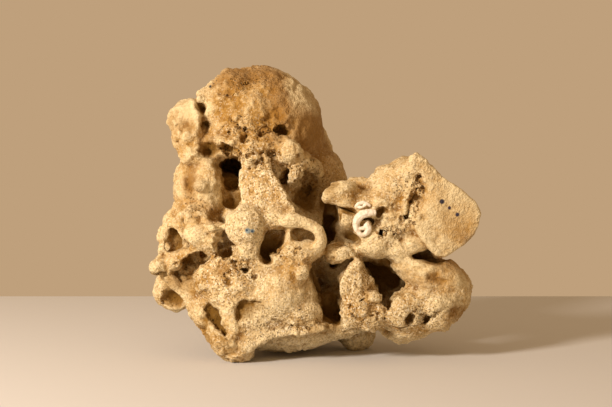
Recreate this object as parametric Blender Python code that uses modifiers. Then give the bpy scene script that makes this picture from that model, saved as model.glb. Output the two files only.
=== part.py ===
"""A porous beach stone with a white worm tube cemented into one of its pits.

The stone is one lump of sand and shell grit that lime has cemented. The sea has worn it into a tall dome on
the left, a squared block and a rounded fist on the right, and it is bored with pits, slots and an arch.
+X is to the right of the face that shows the arch, +Y runs away from it, +Z is up.
The origin is on the ground under the middle of the stone.
"""

import math
import random

import bmesh
import bpy
from mathutils import Matrix, Vector

# Driving dimensions, in metres
WIDTH = 0.134
DEPTH = 0.083
HEIGHT = 0.120

# Everything below is laid out in millimetres and turned into metres as it is made.
MM = 0.001
SCULPT_VOXEL = 1.25
CARVE_VOXEL = 1.0
PIT_GROWTH = 0.35
STONE_TRIANGLES = 8700
TUBE_GAP = 0.3
GROUND = 0.0

STONE_COLOUR = (0.60, 0.44, 0.24, 1.0)
STONE_ROUGHNESS = 0.95
TUBE_COLOUR = (0.87, 0.80, 0.66, 1.0)
TUBE_ROUGHNESS = 0.6

# Rounded lumps of cemented sand: name, centre, radii, tilt about x, y and z in degrees
LUMPS = (
    ("dome", (-22, 8, 93), (27, 24, 27), (0, 0, 0)),
    ("dome_left", (-37, 0, 99), (13.5, 14, 15.5), (0, 0, 0)),
    ("dome_crown", (-32.6, 0, 105.4), (12.5, 12, 13.4), (0, 0, 0)),
    ("dome_crust", (-27, -7, 97), (15, 10, 14), (0, 0, 0)),
    ("brow", (-27, -9, 87), (19, 11, 6), (0, 0, 0)),
    ("brow_right", (-17, -8, 90), (9, 9, 9), (0, 0, 0)),
    ("ear", (-54, -3, 97.5), (7.2, 9, 6.8), (0, 0, 0)),
    ("ear_crown", (-52, -2, 102), (6.5, 8, 3.6), (0, 0, 0)),
    ("ear_bridge", (-47, -7, 99), (5.5, 8, 9), (0, 0, 0)),
    ("ear_low", (-51, -5, 90.5), (8, 9, 7.5), (0, 0, 0)),
    ("ear_root", (-49, -6, 84), (7, 9, 6.5), (0, 0, 0)),
    ("shoulder", (-12.5, 21, 79), (22, 19, 26), (0, -12, 0)),
    ("shoulder_flank", (-0.6, 12, 70), (15.4, 16, 18), (0, -12, 0)),
    ("core", (-22, 10, 50), (32, 26, 40), (0, 0, 0)),
    ("left_wall", (-46.5, 2, 70), (12.5, 16, 17), (0, 8, 0)),
    ("left_hip", (-54, 1, 52.5), (9.8, 13, 10), (0, 0, 0)),
    ("left_waist", (-49, 0, 60), (10, 13, 9), (0, 0, 0)),
    ("left_hip_back", (-52, 10, 46), (11, 12, 12), (0, 0, 0)),
    ("left_column", (-43, -9, 69), (6.5, 8, 14), (0, 0, 0)),
    ("left_bead", (-45.5, -17, 70.5), (2.8, 3.5, 2.4), (0, 0, 0)),
    ("left_step", (-47, -14, 57), (8, 8, 6), (0, 0, 0)),
    ("left_ledge", (-45, -19, 50), (8, 7, 5), (0, 12, 0)),
    ("pit_bridge", (-40, -21, 54), (5, 6, 2.8), (0, 0, 0)),
    ("left_tip", (-62.5, -9, 36.5), (5.5, 7, 4.2), (0, 0, 0)),
    ("left_tip_root", (-55, -6, 40), (9, 9, 5.5), (0, -18, 0)),
    ("left_back_knob", (-57.6, 0, 26), (9.6, 11, 9.4), (0, 0, 0)),
    ("left_arm_web", (-49.4, -11.5, 27.4), (4.6, 6, 5.6), (0, -30, 0)),
    ("left_back_web", (-50, 2, 30), (10, 14, 12), (0, 0, 0)),
    ("belly", (-15, -14, 27), (18, 18, 20), (0, 0, 0)),
    ("belly_cheek", (-8.4, -22.6, 37.5), (8, 9.4, 8.4), (0, 0, 0)),
    ("belly_skirt", (-9, -18.6, 19.5), (15, 11, 8.5), (0, 0, 0)),
    ("belly_skirt_left", (-24, -19, 18), (12, 11.4, 9), (0, 0, 0)),
    ("belly_left", (-31, -17, 30), (15, 14, 17), (0, 0, 0)),
    ("belly_lobe", (-42, -18, 32), (7, 9, 8), (0, 0, 0)),
    ("belly_top", (-18, -18, 42), (14, 13, 11), (0, 0, 0)),
    ("foot", (-34.6, -21.5, 11), (8.4, 10, 12), (0, -20, 0)),
    ("toe", (-30, -24.5, 4), (6, 6, 5.2), (0, 0, 0)),
    ("left_flank", (-41.8, -13.5, 18), (8.2, 12, 10), (0, -24, 0)),
    ("blob", (-27.3, -26, 55), (8.3, 9, 8.3), (0, 0, 0)),
    ("blob_neck", (-26, -25, 45), (5, 7, 7), (0, 0, 0)),
    ("slab_root", (-21, -10, 70), (9, 11, 13), (0, 0, 0)),
    ("slab_crown", (-25.5, -18, 81.5), (4, 5, 4.5), (0, 0, 0)),
    ("arch_root", (-15.5, -24, 57), (6.5, 6, 4.4), (0, 0, 0)),
    ("hole_divide", (-9.8, -25, 50), (1.9, 6, 5), (0, 0, 0)),
    ("mid_knob", (-9.9, -16, 83.8), (5.4, 7, 5.2), (0, 12, 0)),
    ("mid_knob_low", (-7.6, -12.4, 76), (3.4, 8, 6.4), (0, 0, 0)),
    ("valley_rock", (-1.5, -5, 77), (5, 8, 5.4), (0, -20, 0)),
    ("mid_web", (-16, -6, 80), (9, 9, 8), (0, 0, 0)),
    ("saddle", (18, 12, 55), (18, 13, 13), (0, 0, 0)),
    ("right_core", (24, 4, 40), (25, 16, 20), (0, 0, 0)),
    ("small_lump", (9.2, -18.2, 68.2), (9.4, 9, 4.2), (0, -18, 0)),
    ("small_lump_face", (12.2, -20, 65), (5.6, 6, 5), (0, 0, 0)),
    ("saddle_bead", (18, -8, 70), (6, 7, 4), (0, 0, 0)),
    ("small_lump_foot", (12, -20, 57.5), (5, 6, 4), (0, 0, 0)),
    ("small_lump_side", (14.2, -19, 62.4), (6, 6, 7), (0, 0, 0)),
    ("block_left", (32.5, -13, 69), (10.5, 12, 11), (0, 0, 0)),
    ("block_cheek", (38, -16.4, 67), (6.6, 11, 12), (0, 6, 0)),
    ("block_left_low", (27, -17, 62), (9, 9, 8), (0, 0, 0)),
    ("block_apron", (32.5, -20, 57.5), (8, 6.5, 5.5), (0, -20, 0)),
    ("block_shoulder", (36, -12, 76), (8, 10, 6), (0, -22, 0)),
    ("block_crown", (38.5, -17.5, 75.6), (7.5, 9.6, 6.4), (0, -20, 0)),
    ("block_seam", (41.6, -17, 67.6), (4.6, 10.2, 9), (0, 0, 0)),
    ("block_seam_low", (38.4, -17, 59.4), (5, 9.8, 6), (0, 20, 0)),
    ("block_seam_foot", (35.2, -19, 53.4), (6.4, 8, 5), (0, 24, 0)),
    ("block_back", (38, -8, 60), (12, 12, 16), (0, 0, 0)),
    ("tube_bed", (19, -17, 60), (8, 8, 9), (0, 0, 0)),
    ("bridge", (28, -18, 50), (13, 10, 6), (0, 4, 0)),
    ("bridge_sill", (24.6, -19, 46.2), (10, 9.6, 5.6), (0, 6, 0)),
    ("bridge_sill_end", (33.5, -19, 44), (7, 9.4, 4.6), (0, 30, 0)),
    ("bridge_end", (39, -19, 47), (7, 9, 5), (0, 30, 0)),
    ("saddle_lump", (11, -20, 43), (8, 8, 5), (0, 8, 0)),
    ("arch_sill", (-6, -25.5, 44.5), (10, 6.8, 5.5), (0, 0, 0)),
    ("post_knee", (17, -26, 21), (7, 7, 7), (0, 0, 0)),
    ("post_hem", (22.5, -25, 18.6), (7, 6, 6), (0, 10, 0)),
    ("fist_top", (47, -17, 35), (18, 13, 8.5), (0, 22, 0)),
    ("fist_end", (55.2, -15, 27), (9, 12, 10.8), (0, 8, 0)),
    ("fist_hem", (50.6, -18, 17.8), (11, 10, 6.4), (0, -26, 0)),
    ("fist_root", (39, -14, 42), (10, 11, 4.5), (0, 10, 0)),
    ("fist_low", (35.5, -22, 21), (10, 10, 9), (0, -14, 0)),
    ("fist_heel", (40, -14, 14), (14, 12, 7), (0, -10, 0)),
    ("fist_knuckle", (49, -24, 24), (9, 6, 6), (0, -20, 0)),
    ("keel", (-8, 4, 15), (33, 22, 13), (0, 0, 0)),
    ("keel_front", (-9, -9, 11.5), (26, 15, 9.5), (0, -6, 0)),
    ("keel_knob", (18.6, 4, 6.2), (8, 8.4, 7.2), (0, 0, 0)),
    ("keel_web", (14, 0, 18), (17, 14, 11), (0, 0, 0)),
    ("keel_lip", (10, -14, 15), (14, 9, 8), (0, -8, 0)),
    ("back_hump", (-20, 28, 52), (30, 16, 30), (0, 0, 0)),
    ("back_low", (-12, 26, 24), (28, 18, 20), (0, 0, 0)),
    ("back_heel", (-17, 29, 7.5), (13, 10, 9), (0, 0, 0)),
    ("back_right", (24, 20, 38), (20, 15, 18), (0, 0, 0)),
    ("back_knob", (-44, 24, 58), (10, 12, 11), (0, 0, 0)),
    ("back_lobe", (4, 34, 40), (12, 10, 12), (0, 0, 0)),
    ("back_ledge", (-27, 41, 64), (15, 6, 5), (0, 14, 0)),
    ("back_ledge_low", (0, 38, 25), (14, 7, 4.5), (0, -14, 0)),
    ("back_bead", (9, 29, 61), (7, 7, 5.5), (0, 0, 0)),
    ("back_shoulder", (-4, 33, 88), (9, 7, 8), (0, 0, 0)),
    ("back_web", (38, 8, 25), (15, 9, 9), (0, -10, 0)),
    ("block_rear", (50, 2, 59), (12, 9, 13), (0, 30, 0)),
    ("left_side", (-57, 7, 47), (6.5, 8, 9), (0, 0, 0)),
    ("left_side_knob", (-51, 14, 66), (8, 9, 7), (0, 0, 0)),
)

# Faceted pieces: name, outline in x and z, front and back y, how y changes along x and z, and the size
# of the back against the front
CHUNKS = (
    (
        "block",
        ((37.6, 82), (41, 83.6), (44, 81.4), (54, 72.2), (64.6, 64.8), (66.8, 60), (65.2, 53.6),
         (61.6, 48), (55, 43.8), (51.6, 41.6), (48.4, 42.6), (43, 49), (38.6, 54.6), (41, 59),
         (43.8, 63.5), (44.4, 70), (42.4, 75.5), (37, 79)),
        -28.5, 1, (0.05, 0.02), 0.86,
    ),
    (
        "slab",
        ((-27, 84.6), (-22, 84.4), (-16.6, 82), (-13.2, 78), (-10.4, 72.5), (-7.6, 67), (-5.6, 61.5),
         (-12, 58), (-21, 59), (-28.2, 61.6), (-29.6, 69.5), (-29, 78.5)),
        -24.5, -10, (-0.2, 0.36), 0.9,
    ),
    (
        "post",
        ((10, 36.2), (14.4, 40.2), (18.4, 41.4), (19.4, 36), (18, 26), (21.5, 22), (24, 18), (22, 13.6),
         (12, 13), (10.6, 17), (11.6, 24), (10.4, 28), (10.2, 33)),
        -29, -14, (-0.12, 0.0), 0.95,
    ),
    (
        "post_right",
        ((17.4, 41.6), (21, 38.6), (23, 36.2), (25.8, 34.4), (26.6, 29), (24, 25), (17.2, 25.6),
         (16.6, 36)),
        -25.5, -12, (0.75, 0.1), 0.95,
    ),
    (
        "belly_edge",
        ((-31, 2.5), (-25.4, 5.1), (-20.7, 7.9), (-15.6, 9.8), (-9.7, 11), (-3.8, 11), (0.2, 11.6),
         (3.2, 13), (5.4, 13.8), (1.6, 15.6), (-4, 18), (-12, 20), (-22, 20), (-33, 16), (-36, 8)),
        -28.6, -14, (0.05, 0.3), 0.95,
    ),
)

# Ribs that stand clear of the stone: name, points along the middle with the radius at each
RIBS = (
    ("left_ridge", ((-38, -24, 48.5, 4.0), (-45, -20, 45.5, 3.4), (-52, -15, 41, 3.2),
                    (-60, -11, 37.5, 3.4))),
    ("left_rim", ((-62, -6, 52, 2.2), (-62.6, -8, 47, 2.0), (-61.5, -10, 42, 2.6))),
    ("left_arm", ((-62, -12, 33.8, 2.5), (-56, -14, 29.8, 2.4), (-52.2, -14, 26.4, 2.4),
                  (-49.6, -13, 21.6, 2.6), (-48.4, -12, 17, 2.8))),
    ("belly_brow", ((-40, -22, 40, 3.2), (-36, -25, 33, 3.4), (-34, -27, 24, 4.0), (-31, -27, 12, 4.5))),
    ("lower_edge", ((-47.6, -13, 22, 3.2), (-46, -16, 16, 2.8), (-42.4, -19, 11.4, 2.8),
                    (-38.4, -21, 7.4, 2.8), (-34.6, -23, 3.6, 2.6))),
    ("fist_rim", ((37, -22, 41, 2.4), (44, -24, 38, 2.6), (52, -24, 34, 2.8), (58, -20, 29, 3.0))),
    ("fist_fold", ((38, -27, 26, 2.4), (46, -27, 28.5, 2.0), (54, -24, 28, 2.4))),
)

# Pieces too slight to be cut at, which are set on after the pits: the natural arch, and crumbs
BRIDGES = (
    ("arch", ((-20, -24, 58.5, 4.2), (-11.5, -28.5, 57.2, 3.8), (-5.5, -29.5, 57.2, 3.3),
              (-0.2, -30, 55.2, 2.7), (2.9, -30, 51.4, 2.3), (2.5, -28.5, 47, 2.8),
              (-2, -25, 43.5, 4.0))),
)
CRUMBS = (
    ("crumb", (-4.6, -31.2, 37.0), (2.8, 3.4, 3.3), (0, 0, 0)),
    ("post_bead", (23.5, -28.5, 26.3), (3.3, 3, 2.2), (0, 10, 0)),
    ("post_crumb", (26, -27.5, 21), (2.8, 3, 2.2), (0, 0, 0)),
    ("pit_crumb", (-16, -26, 42.8), (2.0, 3, 1.8), (0, 0, 0)),
)

# Grooves along the surface: name, points along the middle with the radius at each
GROOVES = (
    ("belly_groove", ((-42.9, -27.6, 23.6, 2.2), (-40.8, -28.6, 19.6, 2.5), (-38.8, -29.6, 16.1, 2.3),
                      (-36.4, -30.6, 13.2, 2.2), (-34.5, -31.2, 10.2, 2.0), (-32.9, -31.2, 7.0, 1.7),
                      (-31.8, -30.8, 4.6, 1.2))),
    ("belly_groove_deep", ((-42.4, -24, 22.6, 2.3), (-40.4, -25, 19, 2.4), (-38.4, -26.4, 15.6, 2.1),
                           (-36, -27.8, 12.8, 1.9), (-34.2, -28.8, 9.8, 1.6))),
    ("slab_slit", ((-15.8, -17, 77, 1.2), (-12.6, -17, 71.4, 1.5), (-9.4, -18, 65.8, 1.5),
                   (-6.4, -20, 60.6, 1.3))),
    ("left_wall_slit", ((-49.6, -13, 77.4, 1.1), (-51.4, -12.4, 74, 1.5), (-52, -12, 70.6, 1.5),
                        (-50.2, -12.6, 67.4, 1.0))),
    ("tip_crack", ((-70, -12, 34.6, 0.7), (-65, -15, 34.4, 0.7), (-60, -16, 33.6, 0.6))),
)

# Pits and bores: name, centre, radii, tilt
PITS = (
    ("ear_hole_high", (-45.4, -15, 102.0), (2.6, 10, 2.2), (0, 25, 0)),
    ("ear_hole_low", (-43.8, -16, 94.6), (2.2, 10, 2.8), (0, 12, 0)),
    ("ear_slit", (-44.8, -17, 98.6), (0.8, 6, 4.0), (0, 12, 0)),
    ("ear_notch", (-49, -8, 107), (0.9, 10, 3.2), (0, -24, 0)),
    ("ear_hollow", (-43.3, -15.6, 84.6), (3.9, 5.6, 3.4), (0, 0, 0)),
    ("brow_hollow", (-34.5, -18, 84.8), (3.4, 6, 3.2), (0, 0, 0)),
    ("brow_groove", (-27.6, -20, 90), (1.1, 6, 3.0), (0, 22, 0)),
    ("brow_pit", (-20.5, -18, 92.3), (1.0, 5, 1.0), (0, 0, 0)),
    ("brow_pit_low", (-21.5, -18, 89.6), (0.9, 4, 0.9), (0, 0, 0)),
    ("knob_hole", (-14.0, -12, 92.6), (3.2, 9, 2.0), (0, 14, 0)),
    ("knob_crack", (-17, -21, 82), (2.2, 3, 0.5), (0, 10, 0)),
    ("knob_pit", (-10.4, -19, 83.4), (0.9, 3, 0.9), (0, 0, 0)),
    ("knob_round_hollow", (-57.8, -10.4, 22.8), (7.2, 5.6, 5.4), (0, 28, 0)),
    ("red_pit", (-39.3, -22, 59.3), (3.6, 6, 3.4), (0, 0, 0)),
    ("red_pit_deep", (-38.6, -18, 59.6), (1.8, 6, 2.4), (0, 16, 0)),
    ("red_pit_left", (-45.4, -23, 57.2), (1.6, 3.4, 2.8), (0, 0, 0)),
    ("middle_pit_top", (-38.6, -25, 50), (1.2, 5, 2.4), (0, -10, 0)),
    ("trail_pit", (-31, -30, 40), (2.2, 4, 2.0), (0, 40, 0)),
    ("trail_hole", (-27.5, -31, 37), (2.1, 9, 1.2), (0, 25, 0)),
    ("flake_pit", (-33.4, -30.5, 32.4), (1.9, 3, 2.4), (0, -20, 0)),
    ("slab_crack", (-10.8, -30, 61.5), (2.6, 3, 0.6), (0, -12, 0)),
    ("arch_red_pit", (-11.8, -33, 59.8), (1.5, 2, 1.2), (0, 0, 0)),
    ("valley", (-1, -14, 68), (8.5, 11, 9.5), (0, 24, 0)),
    ("valley_hole", (1, -8, 72), (1.8, 6, 2.6), (0, 0, 0)),
    ("valley_slit", (-11.5, -14, 74), (1.4, 9, 4.2), (0, 32, 0)),
    ("valley_floor", (-1, -17, 62), (6, 10, 5), (0, 0, 0)),
    ("deep_gap", (6, -10, 61), (4.4, 14, 8), (0, 0, 0)),
    ("lump_groove", (12.9, -25, 60.6), (4.8, 3.8, 0.7), (0, 22, 0)),
    ("arch_back", (-2.5, -17, 51.5), (5, 7, 3.6), (0, 0, 0)),
    ("crumb_seat", (-6.6, -32.4, 34.4), (2.6, 2.6, 2.8), (0, 40, 0)),
    ("notch_room", (5.4, -9, 50), (3.4, 17, 5), (0, 0, 0)),
    ("pit_by_tube", (27, -26, 52.4), (1.5, 8, 1.5), (0, 10, 0)),
    ("pit_by_bridge", (34.6, -27.6, 49.2), (2.8, 3.4, 0.8), (0, -16, 0)),
    ("pit_by_cheek", (29.8, -27, 60.9), (1.0, 4, 0.5), (0, 0, 0)),
    ("tube_seat", (20, -29.2, 56), (5, 2.9, 6.2), (0, 0, 0)),
    ("tube_mouth_pit", (26, -27, 60.4), (1.9, 5, 1.9), (0, 20, 0)),
    ("groove_pit_1", (41.5, -27, 74.7), (0.9, 5, 1.5), (0, 12, 0)),
    ("groove_pit_2", (41.4, -27, 69.9), (1.5, 4, 0.6), (0, -20, 0)),
    ("groove_pit_3", (37.7, -27, 68.9), (1.0, 4, 0.5), (0, 0, 0)),
    ("groove_pit_4", (40.2, -27, 66.8), (1.9, 6, 1.2), (0, -10, 0)),
    ("groove_pit_5", (38.7, -27, 64.4), (1.2, 7, 2.0), (0, 12, 0)),
    ("groove_pit_6", (41.9, -27, 65.2), (0.8, 5, 1.8), (0, 0, 0)),
    ("groove_pit_7", (37.9, -27, 60.9), (1.1, 6, 2.0), (0, 10, 0)),
    ("groove_pit_8", (37.6, -27, 57.8), (1.2, 5, 1.3), (0, -20, 0)),
    ("groove_pit_9", (34.8, -27, 56), (1.3, 4, 0.6), (0, -34, 0)),
    ("groove_pit_10", (31.4, -27, 53.8), (0.9, 4, 0.5), (0, -34, 0)),
    ("cheek_hollow", (32.2, -28, 63.4), (2.4, 2.6, 1.6), (0, -30, 0)),
    ("fist_dent", (48.4, -32.4, 33.2), (6.0, 5, 3.4), (0, 24, 0)),
    ("fist_pit", (45.4, -29.6, 18), (3.8, 7, 1.3), (0, -38, 0)),
    ("fist_slit", (38.2, -30, 16.2), (1.0, 7, 2.8), (0, 8, 0)),
    ("fist_shade", (56, -28, 20.5), (4.5, 4, 2.0), (0, -12, 0)),
    ("post_slit", (18.2, -32, 24.6), (4.2, 3.2, 0.8), (0, -4, 0)),
    ("fist_undercut", (28.5, -22, 10.5), (3.4, 8, 2.0), (0, 30, 0)),
    ("under_front", (14, -32, 2), (30, 12, 7), (0, -10, 0)),
    ("back_hollow", (-5, 45, 54), (9, 9, 6.5), (0, 20, 0)),
    ("back_hollow_left", (-43, 37, 41), (7, 9, 9), (0, -15, 0)),
    ("back_hollow_low", (15, 38, 20), (8, 9, 6), (0, 10, 0)),
    ("back_groove", (-25, 45, 34), (3, 6, 12), (0, 24, 0)),
    ("back_hole", (24, 36, 44), (4, 12, 5), (0, 0, 0)),
    ("dome_back_hollow", (-36, 33, 84), (6, 7, 5), (0, -20, 0)),
    ("dome_back_pit", (-12, 40, 104), (5, 14, 4), (0, 0, 0)),
    ("side_hollow", (44, 13, 46), (9, 8, 4.5), (0, 16, 0)),
    ("block_side_pit", (69, -12, 57), (7, 4, 3), (0, 0, 0)),
    ("block_side_groove", (62, 2, 70), (8, 3, 7), (0, 40, 0)),
    ("left_side_groove", (-62, 10, 58), (5, 9, 3), (0, -20, 0)),
    ("left_side_hole", (-64, 10, 40), (9, 3.4, 3), (0, 0, 0)),
)

# Holes with a shape of their own: name, outline in x and z, front and back y, back size against front
BORES = (
    (
        "slot",
        ((-40.6, 79), (-39.4, 81.2), (-36, 81.8), (-33, 82.2), (-30.4, 81.6), (-28.4, 78), (-30, 75.5),
         (-30, 68.4), (-29, 64.4), (-30.6, 61), (-33.6, 60.2), (-37, 62.6), (-37.6, 68.4), (-38, 76)),
        -40, -4, 0.98,
    ),
    (
        "slot_deep",
        ((-39.4, 79.2), (-33, 81.6), (-29, 79), (-30.2, 70.6), (-36.6, 71.4), (-37.8, 76)),
        -20, 14, 0.9,
    ),
    (
        "left_hole",
        ((-59.6, 53.2), (-56.6, 52.8), (-53.6, 49.6), (-54.6, 45.2), (-57.6, 42.6), (-60.8, 42.6),
         (-60.8, 44.8), (-59.4, 47)),
        -24, -2, 0.9,
    ),
    (
        "ridge_hollow",
        ((-50.7, 42), (-47.6, 44), (-44.2, 44.2), (-42.6, 41.7), (-43.2, 39.7), (-46.4, 39.7),
         (-48.8, 37.7), (-49.2, 34.5), (-48.6, 31.4), (-51.5, 30.8), (-54.4, 32.4), (-55.2, 36.1),
         (-53.4, 40)),
        -40, -12, 0.85,
    ),
    ("ridge_hole", ((-47.5, 42.6), (-43.8, 42.4), (-43, 40), (-46, 39)), -30, -4, 0.8),
    (
        "middle_pit",
        ((-39.6, 47), (-37.6, 49.4), (-35.6, 48.6), (-31.6, 45), (-32.2, 42), (-35.4, 40.4),
         (-38.4, 43.4)),
        -45, -17, 0.7,
    ),
    (
        "big_hole",
        ((-17.2, 53.4), (-14.4, 53.6), (-12.0, 51), (-12.4, 48), (-13.8, 45.6), (-16, 43.4), (-16.8, 39.6),
         (-19.8, 39.6), (-22.4, 43.2), (-21.6, 47.5)),
        -45, -15, 0.85,
    ),
    (
        "arch_hole",
        ((-8.4, 51.4), (-7.4, 53.2), (-3.4, 54.2), (1, 53), (2, 51), (-1.4, 49.7), (-6.8, 49.5)),
        -45, -12, 1,
    ),
    (
        "deep_hole",
        ((4.2, 64), (8.2, 64.4), (10.2, 60.6), (11.4, 57.5), (10, 54.4), (5.4, 54.4), (3.8, 58)),
        -36, 12, 0.8,
    ),
    (
        "black_notch",
        ((3.4, 56.8), (6.6, 56.8), (9.2, 55.6), (7.2, 52.8), (5.6, 49.4), (4, 47), (4, 52)),
        -45, 8, 0.95,
    ),
    (
        "tube_channel",
        ((8.6, 55), (12.8, 54), (16, 51.6), (18.6, 49), (18, 46.8), (14, 47.6), (10, 49.8), (7.4, 52.8)),
        -45, -6, 0.85,
    ),
    (
        "post_gap",
        ((5.6, 36.6), (9.6, 36), (12, 38), (16.2, 40.8), (16, 42.6), (11.8, 40.8), (8.8, 38.4)),
        -45, 0, 1,
    ),
    (
        "deep_channel",
        ((-1.4, 39.4), (1.4, 37.8), (4.5, 37.2), (8, 37.4), (9.8, 36), (9.8, 29), (10.8, 24), (11, 18),
         (11.4, 14), (7.5, 15), (4.6, 17.8), (4.2, 21.6), (2.6, 25), (1.0, 28.4), (-0.4, 32),
         (-1.4, 35.6)),
        -45, -9, 0.85,
    ),
    (
        "cavity",
        ((18.4, 41), (22.8, 40.4), (27.4, 39.4), (32.6, 36.6), (37.8, 31.2), (35.8, 27.6), (32.2, 26.8),
         (31.4, 24), (30.2, 20.8), (28.2, 19.4), (27, 22), (26.2, 25.4), (27, 28), (24, 31.4),
         (21.6, 35.9), (18.8, 39)),
        -45, -3, 0.85,
    ),
    (
        "crevice",
        ((36.8, 42.8), (41, 43.6), (43.4, 45.2), (45.8, 44.8), (47.6, 42.4), (49.6, 41), (54.4, 41.4),
         (54.4, 39.6), (49.6, 39.4), (45, 40), (41, 41)),
        -45, -12, 0.95,
    ),
    (
        "triangle_hollow",
        ((-31.6, 25), (-26, 25.8), (-20, 25.4), (-25.2, 22.6), (-28.4, 19.4), (-30.6, 15.4),
         (-32.4, 17.6)),
        -45, -25, 0.7,
    ),
)

# Blunt ends of burrows on the back and sides, which the sea has opened: how many, how wide and how deep
BURROWS = 32
BURROW_RADIUS = (1.4, 4.0)
BURROW_DEPTH = (3.0, 9.0)
BURROW_WANDER = 0.35
BURROW_LOWEST = 12.0
BURROW_SEED = 7

# Bumps of the weathered surface: wavelength and height in millimetres
WEATHER = ((17.0, 2.2), (6.5, 1.1))

# The white worm tube: points along its middle, each with its radius
TUBE = (
    (24.4, -26.4, 60.0, 1.3),
    (22.4, -26.8, 60.1, 1.6),
    (20.2, -27.0, 59.8, 1.9),
    (18.2, -26.8, 58.8, 1.95),
    (16.9, -26.5, 57.0, 1.85),
    (16.5, -26.3, 54.8, 1.85),
    (16.7, -26.2, 52.5, 1.5),
    (17.9, -26.3, 50.7, 1.25),
    (19.6, -26.4, 50.6, 1.25),
    (20.9, -26.5, 52.1, 1.4),
    (21.1, -26.5, 54.0, 1.7),
    (20.9, -26.5, 56.0, 1.6),
)
# A thinner tube in an arc above the first
THIN_TUBE = (
    (16.6, -24.8, 62.0, 0.8),
    (17.1, -25.4, 63.4, 0.8),
    (18.7, -25.4, 64.4, 0.8),
    (20.8, -25.2, 63.9, 0.75),
    (22.4, -24.8, 62.5, 0.7),
)


def clear_scene():
    for old in list(bpy.data.objects):
        bpy.data.objects.remove(old, do_unlink=True)


def activate(obj):
    bpy.ops.object.select_all(action="DESELECT")
    obj.select_set(True)
    bpy.context.view_layer.objects.active = obj


def radians(angles):
    return tuple(math.radians(angle) for angle in angles)


def millimetres(values):
    return tuple(value * MM for value in values)


def lump(name, centre, radii, tilt, rings=3):
    bpy.ops.mesh.primitive_ico_sphere_add(subdivisions=rings, radius=1, scale=millimetres(radii))
    bpy.context.object.location = millimetres(centre)
    bpy.context.object.rotation_euler = radians(tilt)
    bpy.context.object.name = name
    return bpy.context.object


def outlined(name, outline, front, back, lean, back_size):
    """The outline in x and z, pushed from the front depth to the back one, where it has the size given."""
    middle_x = sum(x for x, z in outline) / len(outline)
    middle_z = sum(z for x, z in outline) / len(outline)
    mesh = bmesh.new()
    rim = [mesh.verts.new(millimetres((x - middle_x, front, z - middle_z))) for x, z in outline]
    pushed = bmesh.ops.extrude_face_region(mesh, geom=[mesh.faces.new(rim)])["geom"]
    far = [item for item in pushed if isinstance(item, bmesh.types.BMVert)]
    bmesh.ops.translate(mesh, verts=far, vec=(0, (back - front) * MM, 0))
    bmesh.ops.scale(mesh, verts=far, vec=(back_size, 1, back_size))
    slope = Matrix(((1, 0, 0), (lean[0], 1, lean[1]), (0, 0, 1)))
    bmesh.ops.transform(mesh, matrix=slope.to_4x4(), verts=mesh.verts)
    bmesh.ops.recalc_face_normals(mesh, faces=mesh.faces)
    data = bpy.data.meshes.new(name)
    mesh.to_mesh(data)
    mesh.free()
    obj = bpy.data.objects.new(name, data)
    obj.location = millimetres((middle_x, 0, middle_z))
    bpy.context.collection.objects.link(obj)
    return obj


def round_bar(name, points, radii):
    """A closed bar of round section along a smooth curve, as a mesh."""
    curve = bpy.data.curves.new(name, "CURVE")
    curve.dimensions = "3D"
    curve.bevel_depth = MM
    curve.bevel_resolution = 2
    curve.resolution_u = 3
    curve.use_fill_caps = True
    spline = curve.splines.new("NURBS")
    spline.points.add(len(points) - 1)
    spline.order_u = 4
    spline.use_endpoint_u = True
    for place, radius, point in zip(points, radii, spline.points):
        point.co = (*millimetres(place), 1)
        point.radius = radius
    guide = bpy.data.objects.new(name + "_guide", curve)
    bpy.context.collection.objects.link(guide)
    mesh = bpy.data.meshes.new_from_object(guide.evaluated_get(bpy.context.evaluated_depsgraph_get()))
    bar = bpy.data.objects.new(name, mesh)
    bar.matrix_world = guide.matrix_world
    bpy.context.collection.objects.link(bar)
    bpy.data.objects.remove(guide)
    weld = bmesh.new()
    weld.from_mesh(mesh)
    bmesh.ops.remove_doubles(weld, verts=weld.verts, dist=0.00001)
    weld.to_mesh(mesh)
    weld.free()
    return bar


def rib(name, rows, extra=0):
    """A bar through rows of x, y, z and radius, with the radius enlarged by the extra."""
    return round_bar(name, [row[:3] for row in rows], [row[3] + extra for row in rows])


def joined(name, pieces):
    activate(pieces[0])
    if len(pieces) > 1:
        for piece in pieces[1:]:
            piece.select_set(True)
        bpy.ops.object.join()
    obj = bpy.context.object
    obj.name = name
    bpy.ops.object.transform_apply(location=True, rotation=True, scale=True)
    return obj


def fused(name, pieces, voxel, smoothing):
    """The pieces melted into one skin, with the creases between them filled a little."""
    obj = joined(name, pieces)
    remesh = obj.modifiers.new("fuse", "REMESH")
    remesh.mode = "VOXEL"
    remesh.voxel_size = voxel * MM
    bpy.ops.object.modifier_apply(modifier=remesh.name)
    if smoothing:
        smooth = obj.modifiers.new("soften", "SMOOTH")
        smooth.factor = 0.5
        smooth.iterations = smoothing
        bpy.ops.object.modifier_apply(modifier=smooth.name)
    return obj


def grow(obj, amount):
    swell = obj.modifiers.new("swell", "DISPLACE")
    swell.strength = amount * MM
    swell.mid_level = 0
    activate(obj)
    bpy.ops.object.modifier_apply(modifier=swell.name)


def carve(body, cutter):
    cut = body.modifiers.new("carve", "BOOLEAN")
    cut.operation = "DIFFERENCE"
    cut.object = cutter
    activate(body)
    bpy.ops.object.modifier_apply(modifier=cut.name)
    bpy.data.objects.remove(cutter)


def weather(body, wavelength, height):
    """Uneven wear: the skin moves in and out along its normals."""
    clouds = bpy.data.textures.new(f"wear_{wavelength:g}", "CLOUDS")
    clouds.noise_scale = wavelength * MM
    clouds.noise_depth = 2
    wear = body.modifiers.new("wear", "DISPLACE")
    wear.texture = clouds
    wear.texture_coords = "LOCAL"
    wear.strength = height * MM
    wear.mid_level = 0.5
    activate(body)
    bpy.ops.object.modifier_apply(modifier=wear.name)


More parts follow.
